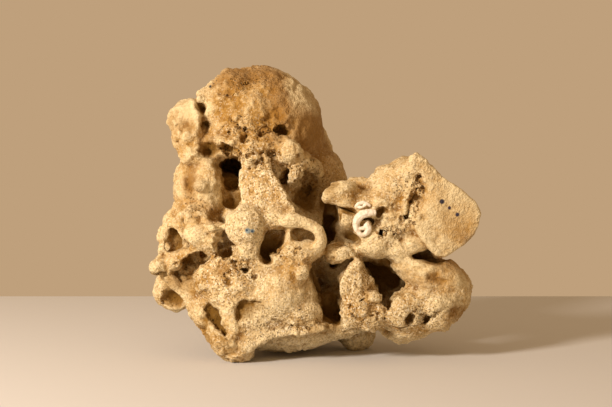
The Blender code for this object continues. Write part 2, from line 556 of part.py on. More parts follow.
def keep_largest(body):
    """Drops crumbs that a cut has left loose and bubbles closed inside."""
    mesh = bmesh.new()
    mesh.from_mesh(body.data)
    unseen = set(mesh.verts)
    islands = []
    while unseen:
        island = set()
        front = [unseen.pop()]
        while front:
            vert = front.pop()
            island.add(vert)
            for edge in vert.link_edges:
                other = edge.other_vert(vert)
                if other in unseen:
                    unseen.remove(other)
                    front.append(other)
        islands.append(island)
    largest = max(islands, key=len)
    loose = [vert for island in islands if island is not largest for vert in island]
    bmesh.ops.delete(mesh, geom=loose, context="VERTS")
    mesh.to_mesh(body.data)
    mesh.free()


def burrows_on(body):
    """Short round bores at random on the back, top and sides, clear of the face that the tables describe."""
    draw = random.Random(BURROW_SEED)
    lowest = BURROW_LOWEST * MM
    hidden = [face for face in body.data.polygons if face.normal.y > 0.15 and face.center.z > lowest]
    cutters = []
    for number in range(BURROWS):
        face = draw.choice(hidden)
        radius = draw.uniform(*BURROW_RADIUS)
        depth = draw.uniform(*BURROW_DEPTH)
        wander = Vector([draw.uniform(-BURROW_WANDER, BURROW_WANDER) for _ in range(3)])
        tilt = (face.normal + wander).to_track_quat("Z", "Y").to_euler()
        angles = tuple(math.degrees(angle) for angle in tilt)
        place = tuple(value / MM for value in face.center)
        widths = (radius, radius * draw.uniform(0.6, 1.3), depth)
        cutters.append(lump(f"burrow_{number:02d}", place, widths, angles, rings=2))
    return cutters


def rough_stone(voxel=SCULPT_VOXEL, carve_voxel=CARVE_VOXEL):
    """The stone before it is trimmed to its ground and lightened."""
    pieces = [lump(*row) for row in LUMPS]
    pieces += [outlined(*row) for row in CHUNKS]
    pieces += [rib(*row) for row in RIBS]
    body = fused("stone", pieces, voxel, smoothing=2)
    cutters = [lump(*row) for row in PITS] + [rib(*row) for row in GROOVES] + burrows_on(body)
    for name, outline, front, back, size in BORES:
        cutters.append(outlined(name, outline, front, back, (0, 0), size))
    pits = fused("pits", cutters, carve_voxel, smoothing=1)
    grow(pits, PIT_GROWTH)
    carve(body, fused("pits", [pits], carve_voxel, smoothing=0))
    late = [rib(*row) for row in BRIDGES] + [lump(*row) for row in CRUMBS]
    body = fused("stone", [body] + late, carve_voxel, smoothing=2)
    for wavelength, height in WEATHER:
        weather(body, wavelength, height)
    keep_largest(body)
    return body


def lighten(body, triangles):
    """Fewer, larger triangles, down to about the number given."""
    count = sum(len(face.vertices) - 2 for face in body.data.polygons)
    thin = body.modifiers.new("lighten", "DECIMATE")
    thin.ratio = triangles / count
    activate(body)
    bpy.ops.object.modifier_apply(modifier=thin.name)


def cut_level(body):
    """Flat spots where the stone has worn against the ground."""
    mesh = bmesh.new()
    mesh.from_mesh(body.data)
    cut = bmesh.ops.bisect_plane(
        mesh,
        geom=mesh.verts[:] + mesh.edges[:] + mesh.faces[:],
        plane_co=(0, 0, GROUND * MM),
        plane_no=(0, 0, -1),
        clear_outer=True,
    )
    rims = [item for item in cut["geom_cut"] if isinstance(item, bmesh.types.BMEdge)]
    flats = bmesh.ops.contextual_create(mesh, geom=rims)["faces"]
    bmesh.ops.triangulate(mesh, faces=flats)
    bmesh.ops.recalc_face_normals(mesh, faces=mesh.faces)
    mesh.to_mesh(body.data)
    mesh.free()


def fit(bodies, width, depth, height):
    """Scales everything together, so that the first body has the driving dimensions over the origin."""
    corners = [vert.co for vert in bodies[0].data.vertices]
    lows = [min(corner[axis] for corner in corners) for axis in range(3)]
    highs = [max(corner[axis] for corner in corners) for axis in range(3)]
    sizes = [target / (high - low) for target, high, low in zip((width, depth, height), highs, lows)]
    scale = Matrix.Diagonal((*sizes, 1))
    move = Matrix.Translation((-(lows[0] + highs[0]) / 2, -(lows[1] + highs[1]) / 2, -lows[2]))
    for body in bodies:
        body.data.transform(scale @ move)


def looks(name, colour, roughness):
    material = bpy.data.materials.new(name)
    material.use_nodes = True
    shader = material.node_tree.nodes["Principled BSDF"]
    shader.inputs["Base Color"].default_value = colour
    shader.inputs["Roughness"].default_value = roughness
    shader.inputs["Metallic"].default_value = 0
    return material


def shelve(obj, name, material, collection):
    """Gives a finished piece its name, its material and its place in the collection."""
    obj.name = name
    obj.data.name = name
    obj.data.materials.clear()
    obj.data.materials.append(material)
    for holder in list(obj.users_collection):
        holder.objects.unlink(obj)
    collection.objects.link(obj)


def main():
    clear_scene()
    stone = rough_stone()
    lighten(stone, STONE_TRIANGLES)
    cut_level(stone)
    for name, rows in (("tube_seat", TUBE), ("thin_tube_seat", THIN_TUBE)):
        carve(stone, rib(name, rows, TUBE_GAP))
    keep_largest(stone)
    tube = rib("worm_tube", TUBE)
    thin_tube = rib("thin_worm_tube", THIN_TUBE)
    fit((stone, tube, thin_tube), WIDTH, DEPTH, HEIGHT)
    collection = bpy.data.collections.new("porous_beach_stone")
    bpy.context.scene.collection.children.link(collection)
    beach_rock = looks("beach_rock", STONE_COLOUR, STONE_ROUGHNESS)
    tube_lime = looks("tube_lime", TUBE_COLOUR, TUBE_ROUGHNESS)
    shelve(stone, "stone", beach_rock, collection)
    shelve(tube, "worm_tube", tube_lime, collection)
    shelve(thin_tube, "thin_worm_tube", tube_lime, collection)
    for smooth in (tube, thin_tube):
        smooth.data.shade_smooth()


if __name__ == "__main__":
    main()
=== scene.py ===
"""The finished look of a porous beach stone with a white worm tube cemented into one of its pits.

The stone is sculpted here from the same lumps, slabs, ribs, pits and bores as its plain solid, with a fine skin that
is then worn, crumbled and tinted. The tubes are made again as fine pieces in the same places.
+X is to the right of the face that shows the arch, +Y runs away from it, +Z is up. The origin is on the ground.
"""

import math
import random

import bmesh
import bpy
import numpy as np
from mathutils import Matrix, Vector, noise
from mathutils.bvhtree import BVHTree


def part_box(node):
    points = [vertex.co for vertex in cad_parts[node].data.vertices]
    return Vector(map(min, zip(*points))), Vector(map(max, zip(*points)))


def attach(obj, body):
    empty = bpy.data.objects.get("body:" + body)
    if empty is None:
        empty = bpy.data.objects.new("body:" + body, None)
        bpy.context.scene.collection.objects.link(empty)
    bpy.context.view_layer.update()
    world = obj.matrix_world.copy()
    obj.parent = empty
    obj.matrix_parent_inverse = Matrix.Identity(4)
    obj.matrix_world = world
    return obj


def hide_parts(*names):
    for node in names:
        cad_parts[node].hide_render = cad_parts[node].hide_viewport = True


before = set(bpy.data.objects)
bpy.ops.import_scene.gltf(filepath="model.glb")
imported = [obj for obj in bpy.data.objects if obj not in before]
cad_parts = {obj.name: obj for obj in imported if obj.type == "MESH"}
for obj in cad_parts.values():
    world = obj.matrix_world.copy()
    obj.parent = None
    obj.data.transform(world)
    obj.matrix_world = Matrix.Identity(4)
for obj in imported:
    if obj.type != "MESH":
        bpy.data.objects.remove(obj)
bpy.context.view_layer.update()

# Tables are laid out in millimetres and turned into metres as the shapes are made.
MM = 0.001
SCULPT_VOXEL = 0.7
CARVE_VOXEL = 0.6
SMALL_VOXEL = 0.4
PIT_GROWTH = 0.35
# The skin has finer triangles in front of this depth
FRONT_DEPTH = 6.0
FRONT_TRIANGLES = 130000
BACK_TRIANGLES = 60000
TUBE_GAP = 0.3
GROUND = 0.0

# Rounded lumps of cemented sand: name, centre, radii, tilt about x, y and z in degrees
LUMPS = (
    ("dome", (-22, 8, 93), (27, 24, 27), (0, 0, 0)),
    ("dome_left", (-37, 0, 99), (13.5, 14, 15.5), (0, 0, 0)),
    ("dome_crown", (-32.6, 0, 105.4), (12.5, 12, 13.4), (0, 0, 0)),
    ("dome_crust", (-27, -7, 97), (15, 10, 14), (0, 0, 0)),
    ("brow", (-27, -9, 87), (19, 11, 6), (0, 0, 0)),
    ("brow_right", (-17, -8, 90), (9, 9, 9), (0, 0, 0)),
    ("ear", (-54, -3, 97.5), (7.2, 9, 6.8), (0, 0, 0)),
    ("ear_crown", (-52, -2, 102), (6.5, 8, 3.6), (0, 0, 0)),
    ("ear_bridge", (-47, -7, 99), (5.5, 8, 9), (0, 0, 0)),
    ("ear_low", (-51, -5, 90.5), (8, 9, 7.5), (0, 0, 0)),
    ("ear_root", (-49, -6, 84), (7, 9, 6.5), (0, 0, 0)),
    ("shoulder", (-12.5, 21, 79), (22, 19, 26), (0, -12, 0)),
    ("shoulder_flank", (-0.6, 12, 70), (15.4, 16, 18), (0, -12, 0)),
    ("core", (-22, 10, 50), (32, 26, 40), (0, 0, 0)),
    ("left_wall", (-46.5, 2, 70), (12.5, 16, 17), (0, 8, 0)),
    ("left_hip", (-54, 1, 52.5), (9.8, 13, 10), (0, 0, 0)),
    ("left_waist", (-49, 0, 60), (10, 13, 9), (0, 0, 0)),
    ("left_hip_back", (-52, 10, 46), (11, 12, 12), (0, 0, 0)),
    ("left_column", (-43, -9, 69), (6.5, 8, 14), (0, 0, 0)),
    ("left_bead", (-45.5, -17, 70.5), (2.8, 3.5, 2.4), (0, 0, 0)),
    ("left_step", (-47, -14, 57), (8, 8, 6), (0, 0, 0)),
    ("left_ledge", (-45, -19, 50), (8, 7, 5), (0, 12, 0)),
    ("pit_bridge", (-40, -21, 54), (5, 6, 2.8), (0, 0, 0)),
    ("left_tip", (-62.5, -9, 36.5), (5.5, 7, 4.2), (0, 0, 0)),
    ("left_tip_root", (-55, -6, 40), (9, 9, 5.5), (0, -18, 0)),
    ("left_back_knob", (-57.6, 0, 26), (9.6, 11, 9.4), (0, 0, 0)),
    ("left_arm_web", (-49.4, -11.5, 27.4), (4.6, 6, 5.6), (0, -30, 0)),
    ("left_back_web", (-50, 2, 30), (10, 14, 12), (0, 0, 0)),
    ("belly", (-15, -14, 27), (18, 18, 20), (0, 0, 0)),
    ("belly_cheek", (-8.4, -22.6, 37.5), (8, 9.4, 8.4), (0, 0, 0)),
    ("belly_skirt", (-9, -18.6, 19.5), (15, 11, 8.5), (0, 0, 0)),
    ("belly_skirt_left", (-24, -19, 18), (12, 11.4, 9), (0, 0, 0)),
    ("belly_left", (-31, -17, 30), (15, 14, 17), (0, 0, 0)),
    ("belly_lobe", (-42, -18, 32), (7, 9, 8), (0, 0, 0)),
    ("belly_top", (-18, -18, 42), (14, 13, 11), (0, 0, 0)),
    ("foot", (-34.6, -21.5, 11), (8.4, 10, 12), (0, -20, 0)),
    ("toe", (-30, -24.5, 4), (6, 6, 5.2), (0, 0, 0)),
    ("left_flank", (-41.8, -13.5, 18), (8.2, 12, 10), (0, -24, 0)),
    ("blob", (-27.3, -26, 55), (8.3, 9, 8.3), (0, 0, 0)),
    ("blob_neck", (-26, -25, 45), (5, 7, 7), (0, 0, 0)),
    ("slab_root", (-21, -10, 70), (9, 11, 13), (0, 0, 0)),
    ("slab_crown", (-25.5, -18, 81.5), (4, 5, 4.5), (0, 0, 0)),
    ("arch_root", (-15.5, -24, 57), (6.5, 6, 4.4), (0, 0, 0)),
    ("hole_divide", (-9.8, -25, 50), (1.9, 6, 5), (0, 0, 0)),
    ("mid_knob", (-9.9, -16, 83.8), (5.4, 7, 5.2), (0, 12, 0)),
    ("mid_knob_low", (-7.6, -12.4, 76), (3.4, 8, 6.4), (0, 0, 0)),
    ("valley_rock", (-1.5, -5, 77), (5, 8, 5.4), (0, -20, 0)),
    ("valley_facet", (-4.6, -10.6, 80.4), (4.6, 8, 4.0), (0, 24, 0)),
    ("mid_web", (-16, -6, 80), (9, 9, 8), (0, 0, 0)),
    ("saddle", (18, 12, 55), (18, 13, 13), (0, 0, 0)),
    ("right_core", (24, 4, 40), (25, 16, 20), (0, 0, 0)),
    ("small_lump", (9.2, -18.2, 68.2), (9.4, 9, 4.2), (0, -18, 0)),
    ("small_lump_face", (12.2, -20, 65), (5.6, 6, 5), (0, 0, 0)),
    ("saddle_bead", (18, -8, 70), (6, 7, 4), (0, 0, 0)),
    ("small_lump_foot", (12, -20, 57.5), (5, 6, 4), (0, 0, 0)),
    ("small_lump_side", (14.2, -19, 62.4), (6, 6, 7), (0, 0, 0)),
    ("block_left", (32.5, -13, 69), (10.5, 12, 11), (0, 0, 0)),
    ("block_cheek", (38, -16.4, 67), (6.6, 11, 12), (0, 6, 0)),
    ("block_left_low", (27, -17, 62), (9, 9, 8), (0, 0, 0)),
    ("block_apron", (32.5, -20, 57.5), (8, 6.5, 5.5), (0, -20, 0)),
    ("block_shoulder", (36, -12, 76), (8, 10, 6), (0, -22, 0)),
    ("block_crown", (38.5, -17.5, 75.6), (7.5, 9.6, 6.4), (0, -20, 0)),
    ("block_seam", (41.6, -17, 67.6), (4.6, 10.2, 9), (0, 0, 0)),
    ("block_seam_low", (38.4, -17, 59.4), (5, 9.8, 6), (0, 20, 0)),
    ("block_seam_foot", (35.2, -19, 53.4), (6.4, 8, 5), (0, 24, 0)),
    ("block_back", (38, -8, 60), (12, 12, 16), (0, 0, 0)),
    ("tube_bed", (19, -17, 60), (8, 8, 9), (0, 0, 0)),
    ("bridge", (28, -18, 50), (13, 10, 6), (0, 4, 0)),
    ("bridge_sill", (24.6, -19, 46.2), (10, 9.6, 5.6), (0, 6, 0)),
    ("bridge_sill_end", (33.5, -19, 44), (7, 9.4, 4.6), (0, 30, 0)),
    ("bridge_end", (39, -19, 47), (7, 9, 5), (0, 30, 0)),
    ("saddle_lump", (11, -20, 43), (8, 8, 5), (0, 8, 0)),
    ("arch_sill", (-6, -25.5, 44.5), (10, 6.8, 5.5), (0, 0, 0)),
    ("post_knee", (17, -26, 21), (7, 7, 7), (0, 0, 0)),
    ("post_hem", (22.5, -25, 18.6), (7, 6, 6), (0, 10, 0)),
    ("fist_top", (47, -17, 35), (18, 13, 8.5), (0, 22, 0)),
    ("fist_end", (55.2, -15, 27), (9, 12, 10.8), (0, 8, 0)),
    ("fist_hem", (50.6, -18, 17.8), (11, 10, 6.4), (0, -26, 0)),
    ("fist_root", (39, -14, 42), (10, 11, 4.5), (0, 10, 0)),
    ("fist_low", (35.5, -22, 21), (10, 10, 9), (0, -14, 0)),
    ("fist_heel", (40, -14, 14), (14, 12, 7), (0, -10, 0)),
    ("fist_knuckle", (49, -24, 24), (9, 6, 6), (0, -20, 0)),
    ("keel", (-8, 4, 15), (33, 22, 13), (0, 0, 0)),
    ("keel_front", (-9, -9, 11.5), (26, 15, 9.5), (0, -6, 0)),
    ("keel_knob", (18.6, 4, 6.2), (8, 8.4, 7.2), (0, 0, 0)),
    ("keel_web", (14, 0, 18), (17, 14, 11), (0, 0, 0)),
    ("keel_lip", (10, -14, 15), (14, 9, 8), (0, -8, 0)),
    ("back_hump", (-20, 28, 52), (30, 16, 30), (0, 0, 0)),
    ("back_low", (-12, 26, 24), (28, 18, 20), (0, 0, 0)),
    ("back_heel", (-17, 29, 7.5), (13, 10, 9), (0, 0, 0)),
    ("back_right", (24, 20, 38), (20, 15, 18), (0, 0, 0)),
    ("back_knob", (-44, 24, 58), (10, 12, 11), (0, 0, 0)),
    ("back_lobe", (4, 34, 40), (12, 10, 12), (0, 0, 0)),
    ("back_ledge", (-27, 41, 64), (15, 6, 5), (0, 14, 0)),
    ("back_ledge_low", (0, 38, 25), (14, 7, 4.5), (0, -14, 0)),
    ("back_bead", (9, 29, 61), (7, 7, 5.5), (0, 0, 0)),
    ("back_shoulder", (-4, 33, 88), (9, 7, 8), (0, 0, 0)),
    ("back_web", (38, 8, 25), (15, 9, 9), (0, -10, 0)),
    ("block_rear", (50, 2, 59), (12, 9, 13), (0, 30, 0)),
    ("left_side", (-57, 7, 47), (6.5, 8, 9), (0, 0, 0)),
    ("left_side_knob", (-51, 14, 66), (8, 9, 7), (0, 0, 0)),
)

# Faceted pieces: name, outline in x and z, front and back y, how y changes along x and z, and the size
# of the back against the front
CHUNKS = (
    (
        "block",
        ((37.6, 82), (41, 83.6), (44, 81.4), (54, 72.2), (64.6, 64.8), (66.8, 60), (65.2, 53.6),
         (61.6, 48), (55, 43.8), (51.6, 41.6), (48.4, 42.6), (43, 49), (38.6, 54.6), (41, 59),
         (43.8, 63.5), (44.4, 70), (42.4, 75.5), (37, 79)),
        -28.5, 1, (0.05, 0.02), 0.86,
    ),
    (
        "slab",
        ((-27, 84.6), (-22, 84.4), (-18.2, 82), (-17, 78), (-13.8, 72.5), (-10.2, 67), (-6.8, 61.5),
         (-12, 58), (-21, 59), (-28.2, 61.6), (-29.6, 69.5), (-29, 78.5)),
        -24.5, -10, (-0.2, 0.36), 0.9,
    ),
    (
        "post",
        ((11.4, 35.2), (14.8, 39.6), (18.4, 41.4), (19.4, 36), (18, 26), (21.5, 22), (24, 18), (22, 13.6),
         (12, 13), (10.6, 17), (11.6, 24), (10.4, 28), (10.2, 33)),
        -29, -14, (-0.12, 0.0), 0.95,
    ),
    (
        "post_right",
        ((17.4, 41.6), (21, 38.6), (23, 36.2), (25.8, 34.4), (26.6, 29), (24, 25), (17.2, 25.6),
         (16.6, 36)),
        -25.5, -12, (0.75, 0.1), 0.95,
    ),
    (
        "belly_edge",
        ((-31, 2.5), (-25.4, 5.1), (-20.7, 7.9), (-15.6, 9.8), (-9.7, 11), (-3.8, 11), (0.2, 11.6),
         (3.2, 13), (5.4, 13.8), (1.6, 15.6), (-4, 18), (-12, 20), (-22, 20), (-33, 16), (-36, 8)),
        -28.6, -14, (0.05, 0.3), 0.95,
    ),
)

# Ribs that stand clear of the stone: name, points along the middle with the radius at each
RIBS = (
    ("left_ridge", ((-38, -24, 48.5, 4.0), (-45, -20, 45.5, 3.4), (-52, -15, 41, 3.2),
                    (-60, -11, 37.5, 3.4))),
    ("left_rim", ((-62, -6, 52, 2.2), (-62.6, -8, 47, 2.0), (-61.5, -10, 42, 2.6))),
    ("left_arm", ((-62, -12, 33.8, 2.5), (-56, -14, 29.8, 2.4), (-52.2, -14, 26.4, 2.4),
                  (-49.6, -13, 21.6, 2.6), (-48.4, -12, 17, 2.8))),
    ("belly_brow", ((-40, -22, 40, 3.2), (-36, -25, 33, 3.4), (-34, -27, 24, 4.0), (-31, -27, 12, 4.5))),
    ("lower_edge", ((-47.6, -13, 22, 3.2), (-46, -16, 16, 2.8), (-42.4, -19, 11.4, 2.8),
                    (-38.4, -21, 7.4, 2.8), (-34.6, -23, 3.6, 2.6))),
    ("fist_rim", ((37, -22, 41, 2.4), (44, -24, 38, 2.6), (52, -24, 34, 2.8), (58, -20, 29, 3.0))),
    ("fist_fold", ((38, -27, 26, 2.4), (46, -27, 28.5, 2.0), (54, -24, 28, 2.4))),
)

# Pieces too slight to be cut at, which are set on after the pits: the natural arch, and crumbs
BRIDGES = (
    ("arch", ((-20, -24, 58.5, 4.2), (-11.5, -28.5, 57.2, 3.8), (-5.5, -29.5, 57.2, 3.3),
              (-0.2, -30, 55.2, 2.7), (2.9, -30, 51.4, 2.3), (2.5, -28.5, 47, 2.8),
              (-2, -25, 43.5, 4.0))),
)
CRUMBS = (
    ("crumb", (-4.6, -31.2, 37.0), (2.8, 3.4, 3.3), (0, 0, 0)),
    ("post_bead", (23.5, -28.5, 26.3), (3.3, 3, 2.2), (0, 10, 0)),
    ("post_crumb", (26, -27.5, 21), (2.8, 3, 2.2), (0, 0, 0)),
    ("pit_crumb", (-16, -26, 42.8), (2.0, 3, 1.8), (0, 0, 0)),
)

# Grooves along the surface: name, points along the middle with the radius at each
GROOVES = (
    ("belly_groove", ((-42.9, -27.6, 23.6, 2.2), (-40.8, -28.6, 19.6, 2.5), (-38.8, -29.6, 16.1, 2.3),
                      (-36.4, -31.4, 13.2, 1.8), (-34.6, -31.4, 10.2, 1.4), (-32.9, -31.6, 7.2, 1.2),
                      (-31.6, -31.4, 4.8, 1.1), (-30.4, -31.2, 3.4, 0.9))),
    ("belly_groove_deep", ((-42.4, -24, 22.6, 2.3), (-40.4, -25, 19, 2.4), (-38.4, -26.8, 15.6, 1.9),
                           (-37, -29, 13.4, 1.3))),
    ("slab_slit", ((-16.8, -17, 77, 1.2), (-13.4, -17, 71.4, 1.6), (-9.8, -18, 65.8, 1.5),
                   (-6.4, -20, 60.6, 1.3))),
    ("left_wall_slit", ((-49.6, -13, 77.4, 1.1), (-51.4, -12.4, 74, 1.5), (-52, -12, 70.6, 1.5),
                        (-50.2, -12.6, 67.4, 1.0))),
    ("tip_crack", ((-70, -12, 34.6, 0.7), (-65, -15, 34.4, 0.7), (-60, -16, 33.6, 0.6))),
    ("fist_valley", ((37.6, -24.6, 30.6, 1.8), (40.4, -28.4, 28.9, 2.0), (42.4, -31.2, 27.8, 2.2),
                     (46.7, -32.2, 25, 2.2), (50.2, -33, 23, 2.0), (53.4, -30, 21.2, 1.8))),
)

# Pits and bores: name, centre, radii, tilt
PITS = (
    ("ear_hole_high", (-45.4, -15, 102.0), (2.6, 10, 2.2), (0, 25, 0)),
    ("ear_hole_low", (-43.8, -16, 94.6), (2.2, 10, 2.8), (0, 12, 0)),
    ("ear_slit", (-44.8, -17, 98.6), (0.8, 6, 4.0), (0, 12, 0)),
    ("ear_notch", (-49, -8, 107), (0.9, 10, 3.2), (0, -24, 0)),
    ("ear_hollow", (-42.8, -15.6, 84.6), (3.9, 8, 3.4), (0, 0, 0)),
    ("brow_hollow", (-34.5, -18, 84.8), (3.4, 6, 3.2), (0, 0, 0)),
    ("brow_groove", (-27.6, -20, 90), (1.1, 6, 3.0), (0, 22, 0)),
    ("brow_pit", (-20.5, -18, 92.3), (1.0, 5, 1.0), (0, 0, 0)),
    ("brow_pit_low", (-21.5, -18, 89.6), (0.9, 4, 0.9), (0, 0, 0)),
    ("knob_hole", (-13.0, -13, 92.6), (3.2, 5, 2.0), (0, 14, 0)),
    ("knob_crack", (-17, -21, 82), (2.2, 3, 0.5), (0, 10, 0)),
    ("knob_pit", (-10.4, -19, 83.4), (0.9, 3, 0.9), (0, 0, 0)),
    ("knob_round_hollow", (-57.8, -10.4, 22.8), (7.2, 5.6, 5.4), (0, 28, 0)),
    ("red_pit", (-39.3, -22, 59.3), (3.6, 6, 3.4), (0, 0, 0)),
    ("red_pit_deep", (-38.6, -18, 59.6), (1.8, 6, 2.4), (0, 16, 0)),
    ("red_pit_left", (-45.4, -23, 57.2), (1.6, 3.4, 2.8), (0, 0, 0)),
    ("trail_pit", (-31, -30, 40), (2.2, 4, 2.0), (0, 40, 0)),
    ("trail_hole", (-27.5, -31, 37), (2.1, 9, 1.2), (0, 25, 0)),
    ("flake_pit", (-33.4, -30.5, 32.4), (1.9, 3, 2.4), (0, -20, 0)),
    ("slab_crack", (-10.8, -30, 61.5), (2.6, 3, 0.6), (0, -12, 0)),
    ("arch_red_pit", (-11.8, -33, 59.8), (1.5, 2, 1.2), (0, 0, 0)),
    ("valley", (-1, -14, 68), (8.5, 11, 9.5), (0, 24, 0)),
    ("valley_hole", (1, -8, 72), (1.8, 6, 2.6), (0, 0, 0)),
    ("valley_slit", (-11.5, -14, 74), (1.4, 9, 4.2), (0, 32, 0)),
    ("valley_floor", (-1, -17, 62), (6, 10, 5), (0, 0, 0)),
    ("deep_gap", (6, -10, 61), (4.4, 11, 8), (0, 0, 0)),
    ("lump_groove", (13, -23.6, 60.7), (5.2, 4.2, 0.8), (0, 22, 0)),
    ("arch_back", (-2.5, -17, 51.5), (5, 7, 3.6), (0, 0, 0)),
    ("crumb_seat", (-6.6, -32.4, 34.4), (2.6, 2.6, 2.8), (0, 40, 0)),
    ("notch_room", (5.4, -9, 50), (3.4, 17, 5), (0, 0, 0)),
    ("pit_by_tube", (26.7, -22.6, 52), (2.0, 6.6, 0.9), (0, -14, 0)),
    ("pit_by_bridge", (34.6, -27.6, 49.2), (2.8, 3.4, 0.8), (0, -16, 0)),
    ("pit_by_cheek", (29.8, -27, 60.9), (1.0, 4, 0.5), (0, 0, 0)),
    ("tube_seat", (20, -29.2, 56), (5, 2.9, 6.2), (0, 0, 0)),
    ("tube_mouth_pit", (26.6, -23.4, 60.2), (2.1, 3.6, 1.3), (0, -34, 0)),
    ("groove_pit_1", (41.5, -27, 74.7), (0.9, 5, 1.5), (0, 12, 0)),
    ("groove_pit_2", (41.4, -27, 69.9), (1.5, 4, 0.6), (0, -20, 0)),
    ("groove_pit_3", (37.7, -27, 68.9), (1.0, 4, 0.5), (0, 0, 0)),
    ("groove_pit_4", (40.2, -27, 66.8), (1.9, 6, 1.2), (0, -10, 0)),
    ("groove_pit_5", (38.7, -27, 64.4), (1.2, 7, 2.0), (0, 12, 0)),
    ("groove_pit_6", (41.9, -27, 65.2), (0.8, 5, 1.8), (0, 0, 0)),
    ("groove_pit_7", (37.9, -27, 60.9), (1.1, 6, 2.0), (0, 10, 0)),
    ("groove_pit_8", (37.6, -27, 57.8), (1.2, 5, 1.3), (0, -20, 0)),
    ("groove_pit_9", (34.8, -27, 56), (1.3, 4, 0.6), (0, -34, 0)),
    ("groove_pit_10", (31.4, -27, 53.8), (0.9, 4, 0.5), (0, -34, 0)),
    ("cheek_hollow", (32.2, -28, 63.4), (2.4, 1.4, 1.6), (0, -30, 0)),
    ("fist_dent", (48.4, -32.4, 33.2), (6.0, 5, 3.4), (0, 24, 0)),
    ("fist_pit", (46, -29.6, 18.8), (4.6, 7, 1.6), (0, -38, 0)),
    ("fist_slit", (38, -30, 18), (1.3, 7, 3.0), (0, 8, 0)),
    ("fist_shade", (56, -28, 19.5), (3.4, 2.2, 1.3), (0, -12, 0)),
    ("fist_undercut", (28.5, -22, 10.5), (3.4, 8, 2.0), (0, 30, 0)),
    ("under_front", (14, -32, 2), (30, 12, 7), (0, -10, 0)),
    ("back_hollow", (-5, 45, 54), (9, 9, 6.5), (0, 20, 0)),
    ("back_hollow_left", (-43, 37, 41), (7, 9, 9), (0, -15, 0)),
    ("back_hollow_low", (15, 38, 20), (8, 9, 6), (0, 10, 0)),
    ("back_groove", (-25, 45, 34), (3, 6, 12), (0, 24, 0)),
    ("back_hole", (24, 36, 44), (4, 12, 5), (0, 0, 0)),
    ("dome_back_hollow", (-36, 33, 84), (6, 7, 5), (0, -20, 0)),
    ("dome_back_pit", (-12, 40, 104), (5, 14, 4), (0, 0, 0)),
    ("side_hollow", (44, 13, 46), (9, 8, 4.5), (0, 16, 0)),
    ("block_side_pit", (69, -12, 57), (7, 4, 3), (0, 0, 0)),
    ("block_side_groove", (62, 2, 70), (8, 3, 7), (0, 40, 0)),
    ("left_side_groove", (-62, 10, 58), (5, 9, 3), (0, -20, 0)),
    ("left_side_hole", (-64, 10, 40), (9, 3.4, 3), (0, 0, 0)),
)

